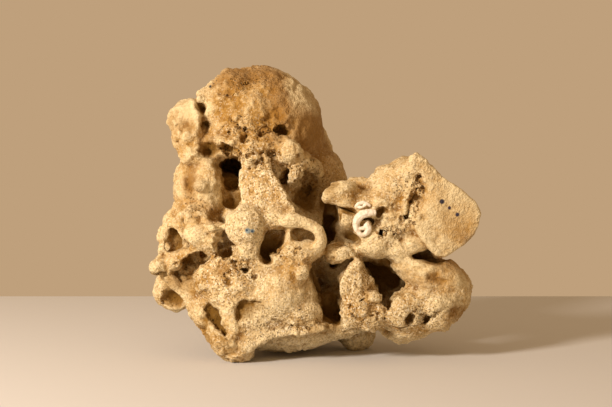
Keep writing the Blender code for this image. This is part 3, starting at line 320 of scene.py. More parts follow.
# Holes with a shape of their own: name, outline in x and z, front and back y, back size against front
BORES = (
    (
        "slot",
        ((-40.6, 79), (-39.4, 81.2), (-36, 81.8), (-33, 82.2), (-30.4, 81.6), (-28.4, 78), (-30, 75.5),
         (-30, 68.4), (-29, 64.4), (-30.6, 61), (-33.6, 60.2), (-37, 62.6), (-37.6, 68.4), (-38, 76)),
        -40, -8.5, 0.98,
    ),
    (
        "slot_deep",
        ((-39.4, 79.2), (-33, 81.6), (-29, 79), (-29.6, 74.4), (-36.8, 75), (-37.8, 77)),
        -20, 14, 0.9,
    ),
    (
        "slot_step",
        ((-37.8, 77), (-29.4, 77), (-29.8, 71), (-31, 68.6), (-36, 68.2), (-37.4, 72)),
        -20, -2.5, 0.85,
    ),
    (
        "left_hole",
        ((-59.6, 53.2), (-56.6, 52.8), (-53.6, 49.6), (-54.6, 45.2), (-57.6, 42.6), (-60.8, 42.6),
         (-60.8, 44.8), (-59.4, 47)),
        -24, -6, 0.9,
    ),
    (
        "ridge_hollow",
        ((-50.7, 42), (-47.6, 44), (-44.2, 44.2), (-42.6, 41.7), (-43.2, 39.7), (-46.4, 39.7),
         (-48.8, 37.7), (-49.2, 34.5), (-48.6, 31.4), (-51.5, 30.8), (-54.4, 32.4), (-55.2, 36.1),
         (-53.4, 40)),
        -40, -8.5, 0.85,
    ),
    ("ridge_hole", ((-47.5, 42.6), (-43.8, 42.4), (-43, 40), (-46, 39)), -30, -4, 0.8),
    (
        "middle_pit",
        ((-40.8, 48.6), (-39, 50.6), (-37.2, 48.6), (-35.6, 46.6), (-31.8, 44), (-32.2, 41.4),
         (-35.4, 40.4), (-39, 43.6)),
        -45, -17, 0.7,
    ),
    (
        "big_hole",
        ((-17.2, 53.4), (-14.4, 53.6), (-12.0, 51), (-12.4, 48), (-13.8, 45.6), (-16, 43.4), (-16.8, 39.6),
         (-19.8, 39.6), (-22.4, 43.2), (-21.6, 47.5)),
        -45, -18.5, 0.85,
    ),
    (
        "arch_hole",
        ((-8.4, 51.4), (-7.4, 53.2), (-3.4, 54.2), (1, 53), (2, 51), (-1.4, 49.7), (-6.8, 49.5)),
        -45, -12, 1,
    ),
    (
        "deep_hole",
        ((4.2, 64), (8.2, 64.4), (10.2, 60.6), (11.4, 57.5), (10, 54.4), (5.4, 54.4), (3.8, 58)),
        -36, 5, 0.8,
    ),
    (
        "black_notch",
        ((3.4, 56.8), (6.6, 56.8), (9.2, 55.6), (7.2, 52.8), (5.6, 49.4), (4, 47), (4, 52)),
        -45, 8, 0.95,
    ),
    (
        "tube_channel",
        ((8.6, 55), (12.8, 54), (16, 51.6), (18.6, 49), (18, 46.8), (14, 47.6), (10, 49.8), (7.4, 52.8)),
        -45, -6, 0.85,
    ),
    (
        "post_gap",
        ((5.6, 36.6), (9.6, 36), (12, 38), (16.2, 40.8), (16, 42.6), (11.8, 40.8), (8.8, 38.4)),
        -45, 0, 1,
    ),
    (
        "deep_channel",
        ((-1.4, 39.4), (1.4, 37.8), (4.5, 37.2), (8, 37.4), (9.8, 36), (9.8, 29), (10.8, 24), (11, 18),
         (11.4, 14), (7.6, 13.4), (3.6, 14.6), (3.6, 21), (2.6, 25), (1.0, 28.4), (-0.4, 32),
         (-1.4, 35.6)),
        -45, -9, 0.85,
    ),
    (
        "cavity",
        ((18.4, 40.6), (22.8, 39.6), (27.4, 38.4), (32.6, 35.8), (37.8, 31.2), (35.8, 27.6), (32.2, 26.8),
         (31.4, 24), (30.2, 20.8), (28.2, 19.4), (27, 22), (26.2, 25.4), (27, 28), (24, 31.4),
         (21.6, 35.9), (18.8, 39)),
        -45, -3, 0.85,
    ),
    (
        "crevice",
        ((36.8, 42.8), (41, 43.6), (43.4, 45.2), (45.8, 44.8), (47.6, 42.4), (49.6, 41), (54.4, 41.4),
         (54.4, 39.6), (49.6, 39.4), (45, 40), (41, 41)),
        -45, -12, 0.95,
    ),
    (
        "triangle_hollow",
        ((-31.6, 25), (-26, 25.8), (-20, 25.4), (-25.2, 22.6), (-28.4, 19.4), (-30.6, 15.4),
         (-32.4, 17.6)),
        -45, -28, 0.75,
    ),
)

# Blunt ends of burrows on the back and sides, which the sea has opened: how many, how wide and how deep
BURROWS = 32
BURROW_RADIUS = (1.4, 4.0)
BURROW_DEPTH = (3.0, 9.0)
BURROW_WANDER = 0.35
BURROW_LOWEST = 12.0
BURROW_SEED = 7

# Bumps of the weathered surface: wavelength and height in millimetres
WEATHER = ((17.0, 2.2), (6.5, 1.1))

# The white worm tube: points along its middle, each with its radius
TUBE = (
    (24.4, -26.4, 60.0, 1.3),
    (22.4, -26.8, 60.1, 1.6),
    (20.2, -27.0, 59.9, 1.75),
    (18.2, -26.8, 59.0, 1.8),
    (16.9, -26.5, 57.2, 1.65),
    (16.5, -26.3, 54.8, 1.5),
    (17.2, -26.2, 52.7, 1.2),
    (18.5, -26.3, 51.2, 1.0),
    (20.0, -26.4, 51.2, 1.05),
    (21.3, -26.5, 52.5, 1.25),
    (21.7, -26.5, 54.1, 1.5),
    (21.0, -26.5, 55.3, 1.6),
    (20.4, -26.5, 55.9, 1.1),
)
# A thinner tube in an arc above the first
THIN_TUBE = (
    (16.6, -24.8, 62.0, 0.8),
    (17.1, -25.4, 63.4, 0.8),
    (18.7, -25.4, 64.4, 0.8),
    (20.8, -25.2, 63.9, 0.75),
    (22.4, -24.8, 62.5, 0.7),
)

# Relief of the crumbling skin: pattern, size and height in millimetres, level that stays put, settings of the pattern
RELIEF = (
    ("CLOUDS", 9.0, 2.4, 0.29, {"noise_type": "HARD_NOISE", "noise_depth": 2}),
    ("VORONOI", 5.0, 1.5, 0.52, {}),
    ("CLOUDS", 2.6, 1.5, 0.3, {"noise_type": "HARD_NOISE", "noise_depth": 3}),
    ("VORONOI", 1.8, 1.0, 0.52, {}),
)
# Cracks too thin for the coarser cuts: name, depth, and points along the mouth with the radius at each
CRACKS = (
    ("lump_crack", 2.4, ((10.2, -21.4, 62, 0.45), (12.2, -21.4, 61.3, 0.5), (14.7, -21.2, 60.3, 0.55),
                         (17.4, -23.4, 59.1, 0.5))),
    ("post_crack", 1.6, ((15, -29.6, 24.2, 0.35), (16.8, -30, 24.5, 0.45), (18.6, -30.4, 25.3, 0.5),
                         (20.2, -30.6, 26.4, 0.35))),
    ("tube_gap", 3.2, ((18.6, -24, 57.2, 0.5), (20.4, -24, 57.6, 0.6), (22.6, -24, 57.7, 0.6),
                       (23.5, -23.4, 56.7, 0.6), (23.6, -23, 55.2, 0.45))),
    ("belly_line", 2.4, ((-38, -29.4, 17, 0.7), (-36.4, -30.6, 14.2, 0.8), (-34.9, -30.9, 11.4, 0.75),
                         (-33.6, -31, 9, 0.65), (-32.4, -31, 6.8, 0.45))),
    ("fist_crack", 3.2, ((44, -26.5, 16, 0.8), (46.3, -27.5, 17.9, 0.9), (48.5, -29, 20, 0.8),
                         (50.7, -30.6, 21.9, 0.6), (52.9, -30.4, 23.2, 0.4))),
    ("fist_seam", 1.6, ((26.4, -27.8, 13.6, 0.6), (31.3, -27, 13.9, 0.6), (35.8, -29.6, 14.6, 0.55),
                        (40.6, -28.8, 15.1, 0.6), (44, -26.5, 15.8, 0.5))),
    ("triangle_top", 1.6, ((-30.4, -30.6, 24.4, 0.4), (-27.9, -29.8, 25.1, 0.6), (-25.1, -30, 25, 0.6),
                           (-22.7, -30.4, 24.9, 0.5), (-20, -31.4, 24.7, 0.4))),
    ("tip_line", 1.6, ((-67, -12, 34.6, 0.4), (-63.5, -12, 33.8, 0.5), (-60, -13.4, 33.6, 0.4))),
    ("belly_dot", 1.6, ((-18, -32, 27.2, 0.5), (-17.6, -32, 27.3, 0.5))),
    ("belly_dot_low", 1.6, ((-5.8, -29.2, 21.6, 0.45), (-5.4, -29.2, 21.7, 0.45))),
)
CRACK_STEP = 0.8
# Loose, sandy relief on the parts that have broken open, and where those are: centre, radii and strength of each
SANDY_RELIEF = (
    ("CLOUDS", 1.8, 1.6, 0.32, {"noise_type": "HARD_NOISE", "noise_depth": 1}),
)
SANDY = (
    ((40.4, -28, 67), (3.4, 8, 10), 1.0),
    ((36, -28, 57), (5, 8, 4), 0.9),
    ((30, -28, 52.6), (5, 8, 2), 0.6),
    ((-23, -18, 88), (12, 12, 5), 0.45),
    ((-24, -12, 98), (14, 12, 9), 0.25),
    ((-4, -10, 72), (8, 14, 10), 0.8),
    ((-31, -28, 41), (8, 8, 6), 0.6),
    ((-39, -22, 60), (5, 8, 5), 0.6),
    ((-38.5, -26, 16), (3, 8, 8), 0.6),
    ((19, -28, 19), (8, 8, 6), 0.5),
    ((25, -26, 27), (3, 8, 5), 0.5),
    ((-16, -22, 45), (5, 8, 6), 0.6),
)
# Parts that crumble into small pits and grains: centre, radii, how many pits, radii of the smallest and the largest pit,
# how many grains
CRUMBLING = (
    ((41.6, -28, 71), (2.4, 6, 5), 10, (0.5, 0.9), 10),
    ((39.6, -28, 63), (2.6, 6, 5), 10, (0.5, 1.0), 10),
    ((37.4, -28, 56.8), (3, 6, 3), 8, (0.5, 1.0), 6),
    ((34, -28, 70), (6, 6, 8), 10, (0.4, 0.7), 6),
    ((31, -28, 53.4), (5, 6, 2), 8, (0.4, 0.8), 4),
    ((-24, -16, 93), (15, 12, 7), 24, (0.45, 0.9), 40),
    ((-22, -20, 85), (10, 10, 4), 10, (0.5, 1.0), 20),
    ((-21, -24, 79), (6, 8, 4), 10, (0.5, 1.0), 16),
    ((-48, -14, 63), (8, 12, 10), 12, (0.4, 0.9), 14),
    ((-33, -26, 41), (8, 9, 6), 16, (0.5, 1.1), 10),
    ((-26, -28, 38), (5, 9, 5), 14, (0.6, 1.2), 6),
    ((-6, -14, 77), (6, 10, 8), 16, (0.5, 1.1), 14),
    ((18.8, -26, 21), (9, 8, 6), 14, (0.4, 0.8), 16),
    ((26, -26, 21), (4, 8, 5), 14, (0.6, 1.2), 8),
    ((45, -26, 19), (10, 10, 5), 10, (0.4, 0.9), 10),
    ((30, -20, 49), (10, 10, 5), 5, (0.4, 0.8), 8),
    ((0, -8, 72), (8, 14, 9), 16, (0.4, 0.9), 16),
    ((-4.6, -32, 37), (3.2, 4, 3.6), 3, (0.4, 0.7), 10),
    ((-5, -28, 15), (7, 8, 3.6), 12, (0.4, 0.6), 4),
    ((-20, -28, 13), (12, 8, 6), 10, (0.35, 0.6), 4),
    ((-44, -18, 14), (8, 10, 8), 12, (0.4, 0.8), 10),
    ((-52, -14, 38), (8, 10, 5), 10, (0.4, 0.8), 8),
    ((-9, -26, 44), (9, 8, 5), 12, (0.4, 0.8), 14),
    ((-36, -24, 84), (11, 12, 6), 12, (0.5, 1.1), 12),
    ((-28, -6, 112), (12, 12, 8), 12, (0.4, 0.7), 10),
    ((12, -22, 44), (8, 8, 5), 8, (0.4, 0.8), 10),
)
CRUMBLE_GRAIN = (0.55, 1.15)
CRUMBLE_SEED = 11
# The thin tube curls back on itself here, only in the finished look: points along its middle, each with its radius
THIN_TUBE_LOOP = (
    (20.6, -25.3, 63.9, 0.6),
    (20.7, -25.6, 62.7, 0.6),
    (19.4, -25.8, 61.9, 0.6),
    (17.4, -25.4, 62.2, 0.6),
)
# The white tube is grown together across its loop
TUBE_WEB = (
    (17.2, -26.6, 53.8, 0.8),
    (19.2, -27.2, 53.9, 0.75),
    (20.8, -26.8, 54.0, 0.8),
)
TUBE_VOXEL = 0.2
# Growth rings and chalky bumps of the tubes: pattern, size and height in millimetres, level that stays put
TUBE_RINGS = (
    ("CLOUDS", 1.6, 0.45, 0.5, {"noise_depth": 2}),
    ("CLOUDS", 0.7, 0.2, 0.5, {"noise_depth": 1}),
)
# Where the sea has rubbed the skin smoother: name, centre, radii, how rough it is, from 0 to 1
CRUST_ROUGHNESS = 1.0
# Crumbling goes in patches about this wide, in millimetres, and is this much weaker between them
CRUMBLE_PATCH = 9.0
CRUMBLE_SHARE = 0.75
# Ragged edges of the bores: pattern, size and height in millimetres
RAGGED = (
    ("CLOUDS", 4.5, 2.4, 0.5, {"noise_depth": 2}),
    ("CLOUDS", 1.9, 1.3, 0.5, {"noise_depth": 2}),
)
CALM = (
    ("block_face", (55, -27, 62), (15, 10, 22), 0.2),
    ("shoulder", (-8, 15, 95), (18, 24, 28), 0.35),
    ("shoulder_flank", (4, 5, 80), (14, 20, 22), 0.4),
    ("fist_top", (50, -20, 40), (18, 14, 8), 0.4),
    ("belly", (-14, -26, 32), (22, 14, 18), 0.55),
    ("slab", (-18, -22, 72), (12, 10, 14), 0.5),
    ("blob", (-27, -30, 55), (9, 9, 9), 0.45),
    ("arch", (-4, -28, 52), (12, 8, 9), 0.35),
    ("small_lump", (11, -22, 66), (10, 10, 9), 0.35),
    ("left_wall", (-48, -12, 72), (8, 12, 12), 0.5),
    ("left_arm", (-52, -12, 26), (8, 10, 9), 0.45),
    ("bridge", (30, -22, 46), (10, 8, 4), 0.4),
)
# Colour patches: centre, radii and strength of each
# Rust-brown stains, some of which also paint shade on facets turned from the lamp: the post's right side, the shoulder
# and valley, the band under the left tip and the block's lower right edge
RUST_AND_SHADE_PATCHES = (
    ((-45, -22, 58), (9, 9, 10), 0.45),
    ((-39, -20, 59.5), (4, 6, 4), 0.9),
    ((-50, -16, 72), (8, 10, 10), 0.5),
    ((46, -28, 32), (9, 8, 6), 0.5),
    ((54, -24, 18), (9, 9, 4), 0.4),
    ((-25, 0, 118), (12, 20, 9), 0.8),
    ((2, 4, 84), (12, 16, 22), 0.75),
    ((-17, -2, 109), (5.5, 14, 13), 1.0),
    ((-4, -5, 93), (9, 14, 9), 1.0),
    ((-42.5, -14, 86), (5, 8, 5), 0.8),
    ((-46.5, -12, 79.5), (4, 8, 3), 0.5),
    ((21.5, -27, 28), (3.5, 6, 6), 0.6),
    ((60, -27, 51), (6, 8, 6), 0.6),
    ((-17, -18, 90), (5, 8, 4), 0.6),
    ((-31.5, -14, 99.5), (5, 8, 5), 0.4),
    ((-36, -28, 37.5), (4, 6, 4), 0.7),
    ((-12.5, -28, 61.5), (5, 6, 3.4), 0.6),
    ((-55, -13, 31), (9, 8, 4), 0.6),
    ((-13.5, -12, 102), (4.5, 10, 11), 1.0),
    ((-31, -4, 114), (10, 12, 8), 1.0),
    ((57, -24, 20), (5, 8, 4), 0.8),
    ((52, -22, 38), (9, 10, 5), 0.6),
    ((-24, -12, 107), (6, 8, 6), 0.4),
    ((-51, -14, 72), (3, 6, 7), 0.9),
)
# Greyer patches: the grey-tan underside, painted paler to stand in for light bounced up from the floor, and grey
# streaks on the dome
GREYISH = (
    ((-8, -20, 6), (30, 16, 6), 0.8),
    ((-5, 8, 106), (8, 18, 12), 0.9),
    ((-46, 0, 108), (10, 14, 9), 0.4),
    ((-55, -8, 98), (8, 12, 9), 0.6),
)
# Painted shade: patches that deepen the recess darkening where shade falls, and weaken it where it is too dark
# (negative strength)
PAINTED_SHADE_PATCHES = (
    ((-58, -8, 47), (4, 8, 6), 0.15),
    ((39, -28, 64), (6, 8, 12), -0.2),
    ((-5, -6, 93), (8, 12, 8), 0.2),
    ((5, -24, 15), (6, 9, 4), 0.5),
    ((1.7, -24, 13.4), (4, 8, 3), 0.35),
    ((-22, -29, 23.4), (4, 7, 2.4), 0.35),
    ((6.5, -22, 42), (4, 8, 3), 0.3),
    ((6.5, -24, 70.5), (4, 8, 4), 0.3),
    ((-50.5, -22, 32), (5, 8, 5), 0.25),
    ((1.5, -24, 20), (5, 8, 8), 0.2),
    ((-3, -20, 32.5), (4, 8, 5), 0.2),
    ((-17.5, -29, 11), (8, 8, 5), -0.25),
    ((28, -26, 42), (6, 8, 3), -0.35),
    ((39.5, -27, 75), (4, 7, 4), -0.3),
    ((-17, -20, 85), (4, 7, 3), -0.35),
    ((24.5, -26, 55), (4.5, 7, 6), -0.4),
    ((30, -24, 44), (8, 8, 4), -0.3),
    ((-55, -13, 31), (9, 7, 4), 0.3),
    ((-42.5, -14, 85), (4, 6, 4), 0.35),
    ((5.5, -20, 42.5), (4, 7, 4), 0.3),
    ((21.5, -27, 28), (3, 5, 6), 0.15),
    ((-41, -14, 68), (3, 8, 6), -0.3),
    ((-36, -26, 51), (3, 7, 3), -0.3),
    ((-39, -20, 59.5), (3.6, 5, 3.4), 0.2),
    ((-39, -24, 15), (6, 4, 9), 0.5),
    ((-33.6, -29, 8), (3, 3, 4), 0.4),
    ((-27.5, -28.5, 21.5), (4, 3, 4), 0.45),
    ((-50, -8, 35), (5, 9, 6), 0.15),
    ((5, -12, 28), (7, 9, 13), 0.5),
    ((12, -10, 51), (8, 8, 4), 0.3),
    ((29, -10, 32), (8, 9, 10), 0.4),
    ((2, -6, 64), (8, 10, 8), 0.4),
)
# Ochre patches, mostly the stone's darker crust; the one on the block's lower right edge paints its shade
OCHRE = (
    ((-26, -14, 97), (15, 12, 11), 0.9),
    ((-36, -12, 104), (9, 10, 12), 0.75),
    ((-48, -14, 68), (7, 10, 12), 0.5),
    ((-30, -16, 88), (14, 12, 6), 0.8),
    ((-20, -18, 86), (6, 8, 4), 0.6),
    ((-18, -24, 80), (9, 10, 6), 0.6),
    ((-36, -26, 7), (12, 12, 9), 0.6),
    ((8, -22, 66), (9, 10, 7), 0.8),
    ((-46, -18, 62), (8, 10, 8), 0.4),
    ((39, -26, 64), (5, 8, 12), 0.3),
    ((-25, -12, 107), (8, 10, 8), 0.8),
    ((-5, 6, 104), (9, 14, 12), 0.3),
    ((-53, -6, 97), (9, 12, 12), 0.4),
    ((17, -28, 33), (5, 7, 8), 0.7),
    ((20.6, -28, 28), (4, 6, 4), 0.5),
    ((-41, -29, 13.8), (4, 7, 5), 0.6),
    ((-35.5, -30, 14), (3, 7, 4), 0.5),
    ((16, -28, 27), (4, 6, 4), 0.4),
    ((15.8, -27, 37), (3.5, 6, 3), 0.5),
    ((-12.5, -22, 84.5), (5, 7, 4), 0.5),
    ((-50.5, -22, 32), (6, 8, 6), 0.5),
    ((-22, -26, 75.3), (5, 7, 4), 0.5),
    ((-46.5, -18, 76.5), (5, 8, 6), 0.5),
    ((35.3, -26, 46.7), (4, 7, 3), 0.5),
    ((-55.5, -18, 42), (5, 8, 5), 0.5),
    ((-56, -14, 56), (5, 8, 4), 0.5),
    ((2.5, -27, 46), (4, 7, 4), 0.4),
    ((60, -27, 51), (7, 8, 7), 0.7),
    ((44, -22, 13.5), (8, 8, 3), 0.8),
    ((54, -27, 43), (6, 8, 4), 0.6),
    ((53, -22, 37), (11, 10, 6), 1.0),
    ((59, -20, 28), (6, 10, 8), 0.5),
    ((-18, -24, 72), (9, 12, 12), 0.2),
    ((20, -26, 24), (9, 8, 10), 0.35),
)
# Paler patches: partly stone rubbed clean, partly painted light that lifts spots lying in shade, such as the bed beside
# the tube, the bridge sill, the slot's left wall and the belly's lower part
PALE = (
    ((-17, -29, 14), (8, 8, 8), 0.9),
    ((24.5, -26, 55), (4.5, 7, 6), 0.9),
    ((33, -25, 46), (7, 8, 5), 0.9),
    ((45, -28, 56), (3.5, 8, 6), 0.7),
    ((-41, -14, 69), (3.5, 9, 6), 0.9),
    ((54.5, -27, 24), (5, 7, 3.5), 0.8),
    ((-36, -26, 51), (3, 7, 3), 0.8),
    ((-8, -24, 6), (16, 12, 5), 0.7),
    ((-17.5, -29, 11), (8, 8, 5), 0.8),
    ((-8, -30, 23), (5, 7, 4), 0.6),
    ((28, -26, 42), (6, 8, 3), 0.8),
    ((39.5, -27, 75), (4, 7, 4), 0.7),
)
# Where the grain stands out more or less than elsewhere
GRAINY = (
    ((-30, 0, 106), (28, 24, 22), 0.3),
    ((-53, -6, 97), (9, 12, 12), 0.1),
    ((-48, -10, 68), (10, 12, 14), 0.3),
    ((55, -27, 62), (15, 10, 20), 0.22),
    ((50, -24, 38), (14, 10, 8), 0.2),
    ((-8, -10, 100), (12, 24, 22), 0.12),
    ((-2, -29, 53), (7, 8, 7), 0.3),
    ((-18, -22, 70), (12, 10, 14), 0.85),
    ((-34, -24, 34), (12, 12, 12), 1.0),
    ((-27, -28, 54), (10, 10, 9), 0.8),
    ((18, -26, 24), (9, 10, 16), 1.0),
    ((38, -26, 20), (12, 10, 9), 0.9),
    ((-12, -26, 18), (16, 10, 8), 0.8),
)
# Blue-black and blue-grey specks, as places on the photographed side with their radii and colours
SPECKS = (
    ((50.4, -28, 64.6), 1.05, "#141C38"),
    ((53.4, -28, 62.1), 0.7, "#281E3C"),
    ((56.6, -28, 59.4), 0.85, "#1C1E40"),
    ((-25.8, -34, 53.5), 1.2, "#8A9796"),
    ((-24.0, -34, 53.4), 0.9, "#8A9796"),
    ((-26.2, -34, 53.7), 0.5, "#34485C"),
    ((-24.1, -34, 53.3), 0.5, "#34485C"),
    ((-42.6, -8, 111.2), 0.75, "#1A2430"),
    ((-41.2, -8, 112.3), 0.6, "#1A2430"),
    ((-40.0, -8, 113.5), 0.5, "#1A2430"),
)

# Colours as the eye sees them
CREAM = "#E4CFA0"
TAN = "#CFB17C"
OCHRE_TAN = "#AE8440"
BROWN = "#886028"
RUST_AND_SHADE_BROWN = "#8E6222"
# Painted shade in recesses: olive brown, and near black deep inside
RECESS_SHADE_OLIVE = "#7E5A18"
DEEP_RECESS_SHADE = "#60420A"
GREY = "#CDBC96"
DARK_GRAIN = "#70501C"
PALE_GRAIN = "#F0E5C8"
LIME = "#F0E6D2"
LIME_SHADE = "#C9AE86"
FLOOR_PALE = "#D2D0CC"

# Camera, light and floor, in metres
CAMERA_PLACE = (-0.0024, -0.5022, 0.088)
CAMERA_TILT = 87
CAMERA_LENS = 70
KEY_PLACE = (-0.46, -0.465, 0.34)
KEY_TARGET = (0, 0, 0.05)
KEY_POWER = 6.0
KEY_SIZE = 0.12
KEY_COLOUR = "#FFF0E2"
ROOM_COLOUR = "#BFA07C"
ROOM_STRENGTH = 1.0
FLOOR_MIDDLE = -0.33
FLOOR_SIZE = (3.0, 1.0, 1.0)


def activate(obj):
    bpy.ops.object.select_all(action="DESELECT")
    obj.select_set(True)
    bpy.context.view_layer.objects.active = obj


def radians(angles):
    return tuple(math.radians(angle) for angle in angles)


def millimetres(values):
    return tuple(value * MM for value in values)


def lump(name, centre, radii, tilt, rings=3):
    bpy.ops.mesh.primitive_ico_sphere_add(subdivisions=rings, radius=1, scale=millimetres(radii))
    bpy.context.object.location = millimetres(centre)
    bpy.context.object.rotation_euler = radians(tilt)
    bpy.context.object.name = name
    return bpy.context.object


def outlined(name, outline, front, back, lean, back_size):
    """The outline in x and z, pushed from the front depth to the back one, where it has the size given."""
    middle_x = sum(x for x, z in outline) / len(outline)
    middle_z = sum(z for x, z in outline) / len(outline)
    mesh = bmesh.new()
    rim = [mesh.verts.new(millimetres((x - middle_x, front, z - middle_z))) for x, z in outline]
    pushed = bmesh.ops.extrude_face_region(mesh, geom=[mesh.faces.new(rim)])["geom"]
    far = [item for item in pushed if isinstance(item, bmesh.types.BMVert)]
    bmesh.ops.translate(mesh, verts=far, vec=(0, (back - front) * MM, 0))
    bmesh.ops.scale(mesh, verts=far, vec=(back_size, 1, back_size))
    slope = Matrix(((1, 0, 0), (lean[0], 1, lean[1]), (0, 0, 1)))
    bmesh.ops.transform(mesh, matrix=slope.to_4x4(), verts=mesh.verts)
    bmesh.ops.recalc_face_normals(mesh, faces=mesh.faces)
    data = bpy.data.meshes.new(name)
    mesh.to_mesh(data)
    mesh.free()
    obj = bpy.data.objects.new(name, data)
    obj.location = millimetres((middle_x, 0, middle_z))
    bpy.context.collection.objects.link(obj)
    return obj


def round_bar(name, points, radii):
    """A closed bar of round section along a smooth curve, as a mesh."""
    curve = bpy.data.curves.new(name, "CURVE")
    curve.dimensions = "3D"
    curve.bevel_depth = MM
    curve.bevel_resolution = 2
    curve.resolution_u = 3
    curve.use_fill_caps = True
    spline = curve.splines.new("NURBS")
    spline.points.add(len(points) - 1)
    spline.order_u = 4
    spline.use_endpoint_u = True
    for place, radius, point in zip(points, radii, spline.points):
        point.co = (*millimetres(place), 1)
        point.radius = radius
    guide = bpy.data.objects.new(name + "_guide", curve)
    bpy.context.collection.objects.link(guide)
    mesh = bpy.data.meshes.new_from_object(guide.evaluated_get(bpy.context.evaluated_depsgraph_get()))
    bar = bpy.data.objects.new(name, mesh)
    bar.matrix_world = guide.matrix_world
    bpy.context.collection.objects.link(bar)
    bpy.data.objects.remove(guide)
    weld = bmesh.new()
    weld.from_mesh(mesh)
    bmesh.ops.remove_doubles(weld, verts=weld.verts, dist=0.00001)
    weld.to_mesh(mesh)
    weld.free()
    return bar


def rib(name, rows, extra=0):
    """A bar through rows of x, y, z and radius, with the radius enlarged by the extra."""
    return round_bar(name, [row[:3] for row in rows], [row[3] + extra for row in rows])


def joined(name, pieces):
    activate(pieces[0])
    if len(pieces) > 1:
        for piece in pieces[1:]:
            piece.select_set(True)
        bpy.ops.object.join()
    obj = bpy.context.object
    obj.name = name
    bpy.ops.object.transform_apply(location=True, rotation=True, scale=True)
    return obj


def fused(name, pieces, voxel, smoothing):
    """The pieces melted into one skin, with the creases between them filled a little."""
    obj = joined(name, pieces)
    remesh = obj.modifiers.new("fuse", "REMESH")
    remesh.mode = "VOXEL"
    remesh.voxel_size = voxel * MM
    bpy.ops.object.modifier_apply(modifier=remesh.name)
    if smoothing:
        smooth = obj.modifiers.new("soften", "SMOOTH")
        smooth.factor = 0.5
        smooth.iterations = smoothing
        bpy.ops.object.modifier_apply(modifier=smooth.name)
    return obj


def grow(obj, amount):
    swell = obj.modifiers.new("swell", "DISPLACE")
    swell.strength = amount * MM
    swell.mid_level = 0
    activate(obj)
    bpy.ops.object.modifier_apply(modifier=swell.name)


def carve(body, cutter):
    cut = body.modifiers.new("carve", "BOOLEAN")
    cut.operation = "DIFFERENCE"
    cut.object = cutter
    activate(body)
    bpy.ops.object.modifier_apply(modifier=cut.name)
    bpy.data.objects.remove(cutter)


def weather(body, wavelength, height):
    """Uneven wear: the skin moves in and out along its normals."""
    clouds = bpy.data.textures.new(f"wear_{wavelength:g}", "CLOUDS")
    clouds.noise_scale = wavelength * MM
    clouds.noise_depth = 2
    wear = body.modifiers.new("wear", "DISPLACE")
    wear.texture = clouds
    wear.texture_coords = "LOCAL"
    wear.strength = height * MM
    wear.mid_level = 0.5
    activate(body)
    bpy.ops.object.modifier_apply(modifier=wear.name)


def keep_largest(body):
    """Drops crumbs that a cut has left loose and bubbles closed inside."""
    mesh = bmesh.new()
    mesh.from_mesh(body.data)
    unseen = set(mesh.verts)
    islands = []
    while unseen:
        island = set()
        front = [unseen.pop()]
        while front:
            vert = front.pop()
            island.add(vert)
            for edge in vert.link_edges:
                other = edge.other_vert(vert)
                if other in unseen:
                    unseen.remove(other)
                    front.append(other)
        islands.append(island)
    largest = max(islands, key=len)
    loose = [vert for island in islands if island is not largest for vert in island]
    bmesh.ops.delete(mesh, geom=loose, context="VERTS")
    mesh.to_mesh(body.data)
    mesh.free()


def burrows_on(body):
    """Short round bores at random on the back, top and sides, clear of the face that the tables describe."""
    draw = random.Random(BURROW_SEED)
    lowest = BURROW_LOWEST * MM
    hidden = [face for face in body.data.polygons if face.normal.y > 0.15 and face.center.z > lowest]
    cutters = []
    for number in range(BURROWS):
        face = draw.choice(hidden)
        radius = draw.uniform(*BURROW_RADIUS)
        depth = draw.uniform(*BURROW_DEPTH)
        wander = Vector([draw.uniform(-BURROW_WANDER, BURROW_WANDER) for _ in range(3)])
        tilt = (face.normal + wander).to_track_quat("Z", "Y").to_euler()
        angles = tuple(math.degrees(angle) for angle in tilt)
        place = tuple(value / MM for value in face.center)
        widths = (radius, radius * draw.uniform(0.6, 1.3), depth)
        cutters.append(lump(f"burrow_{number:02d}", place, widths, angles, rings=2))
    return cutters


def rough_stone(voxel=SCULPT_VOXEL, carve_voxel=CARVE_VOXEL):
    """The stone before it is trimmed to its ground, and its skin before it was bored."""
    pieces = [lump(*row) for row in LUMPS]
    pieces += [outlined(*row) for row in CHUNKS]
    pieces += [rib(*row) for row in RIBS]
    body = fused("stone", pieces, voxel, smoothing=2)
    corners = [vert.co.copy() for vert in body.data.vertices]
    envelope = BVHTree.FromPolygons(corners, [tuple(face.vertices) for face in body.data.polygons])
    cutters = [lump(*row) for row in PITS] + [rib(*row) for row in GROOVES] + burrows_on(body)
    for name, outline, front, back, size in BORES:
        cutters.append(outlined(name, outline, front, back, (0, 0), size))
    pits = fused("pits", cutters, carve_voxel, smoothing=1)
    for row in RAGGED:
        relief(pits, *row)
    grow(pits, PIT_GROWTH)
    carve(body, fused("pits", [pits], carve_voxel, smoothing=0))
    late = [rib(*row) for row in BRIDGES] + [lump(*row) for row in CRUMBS]
    body = fused("stone", [body] + late, carve_voxel, smoothing=2)
    small_pits, grains = crumbled(body)
    small_pits += [rib(name, rows) for name, depth, points in CRACKS for rows in deepened(points, depth)]
    body = fused("stone", [body] + grains, carve_voxel, smoothing=1)
    carve(body, fused("small_pits", small_pits, SMALL_VOXEL, smoothing=0))
    for wavelength, height in WEATHER:
        weather(body, wavelength, height)
    keep_largest(body)
    return body, envelope


def lighten(body, part, triangles):
    """Fewer, larger triangles on the part that the vertex group gives, down to about the number given."""
    inside = body.vertex_groups[part].index
    held = [any(share.group == inside and share.weight > 0.5 for share in vert.groups) for vert in body.data.vertices]
    own = others = 0
    for face in body.data.polygons:
        if held[face.vertices[0]]:
            own += len(face.vertices) - 2
        else:
            others += len(face.vertices) - 2
    thin = body.modifiers.new("lighten", "DECIMATE")
    thin.vertex_group = part
    thin.ratio = min(1, (triangles + others) / (own + others))
    activate(body)
    bpy.ops.object.modifier_apply(modifier=thin.name)


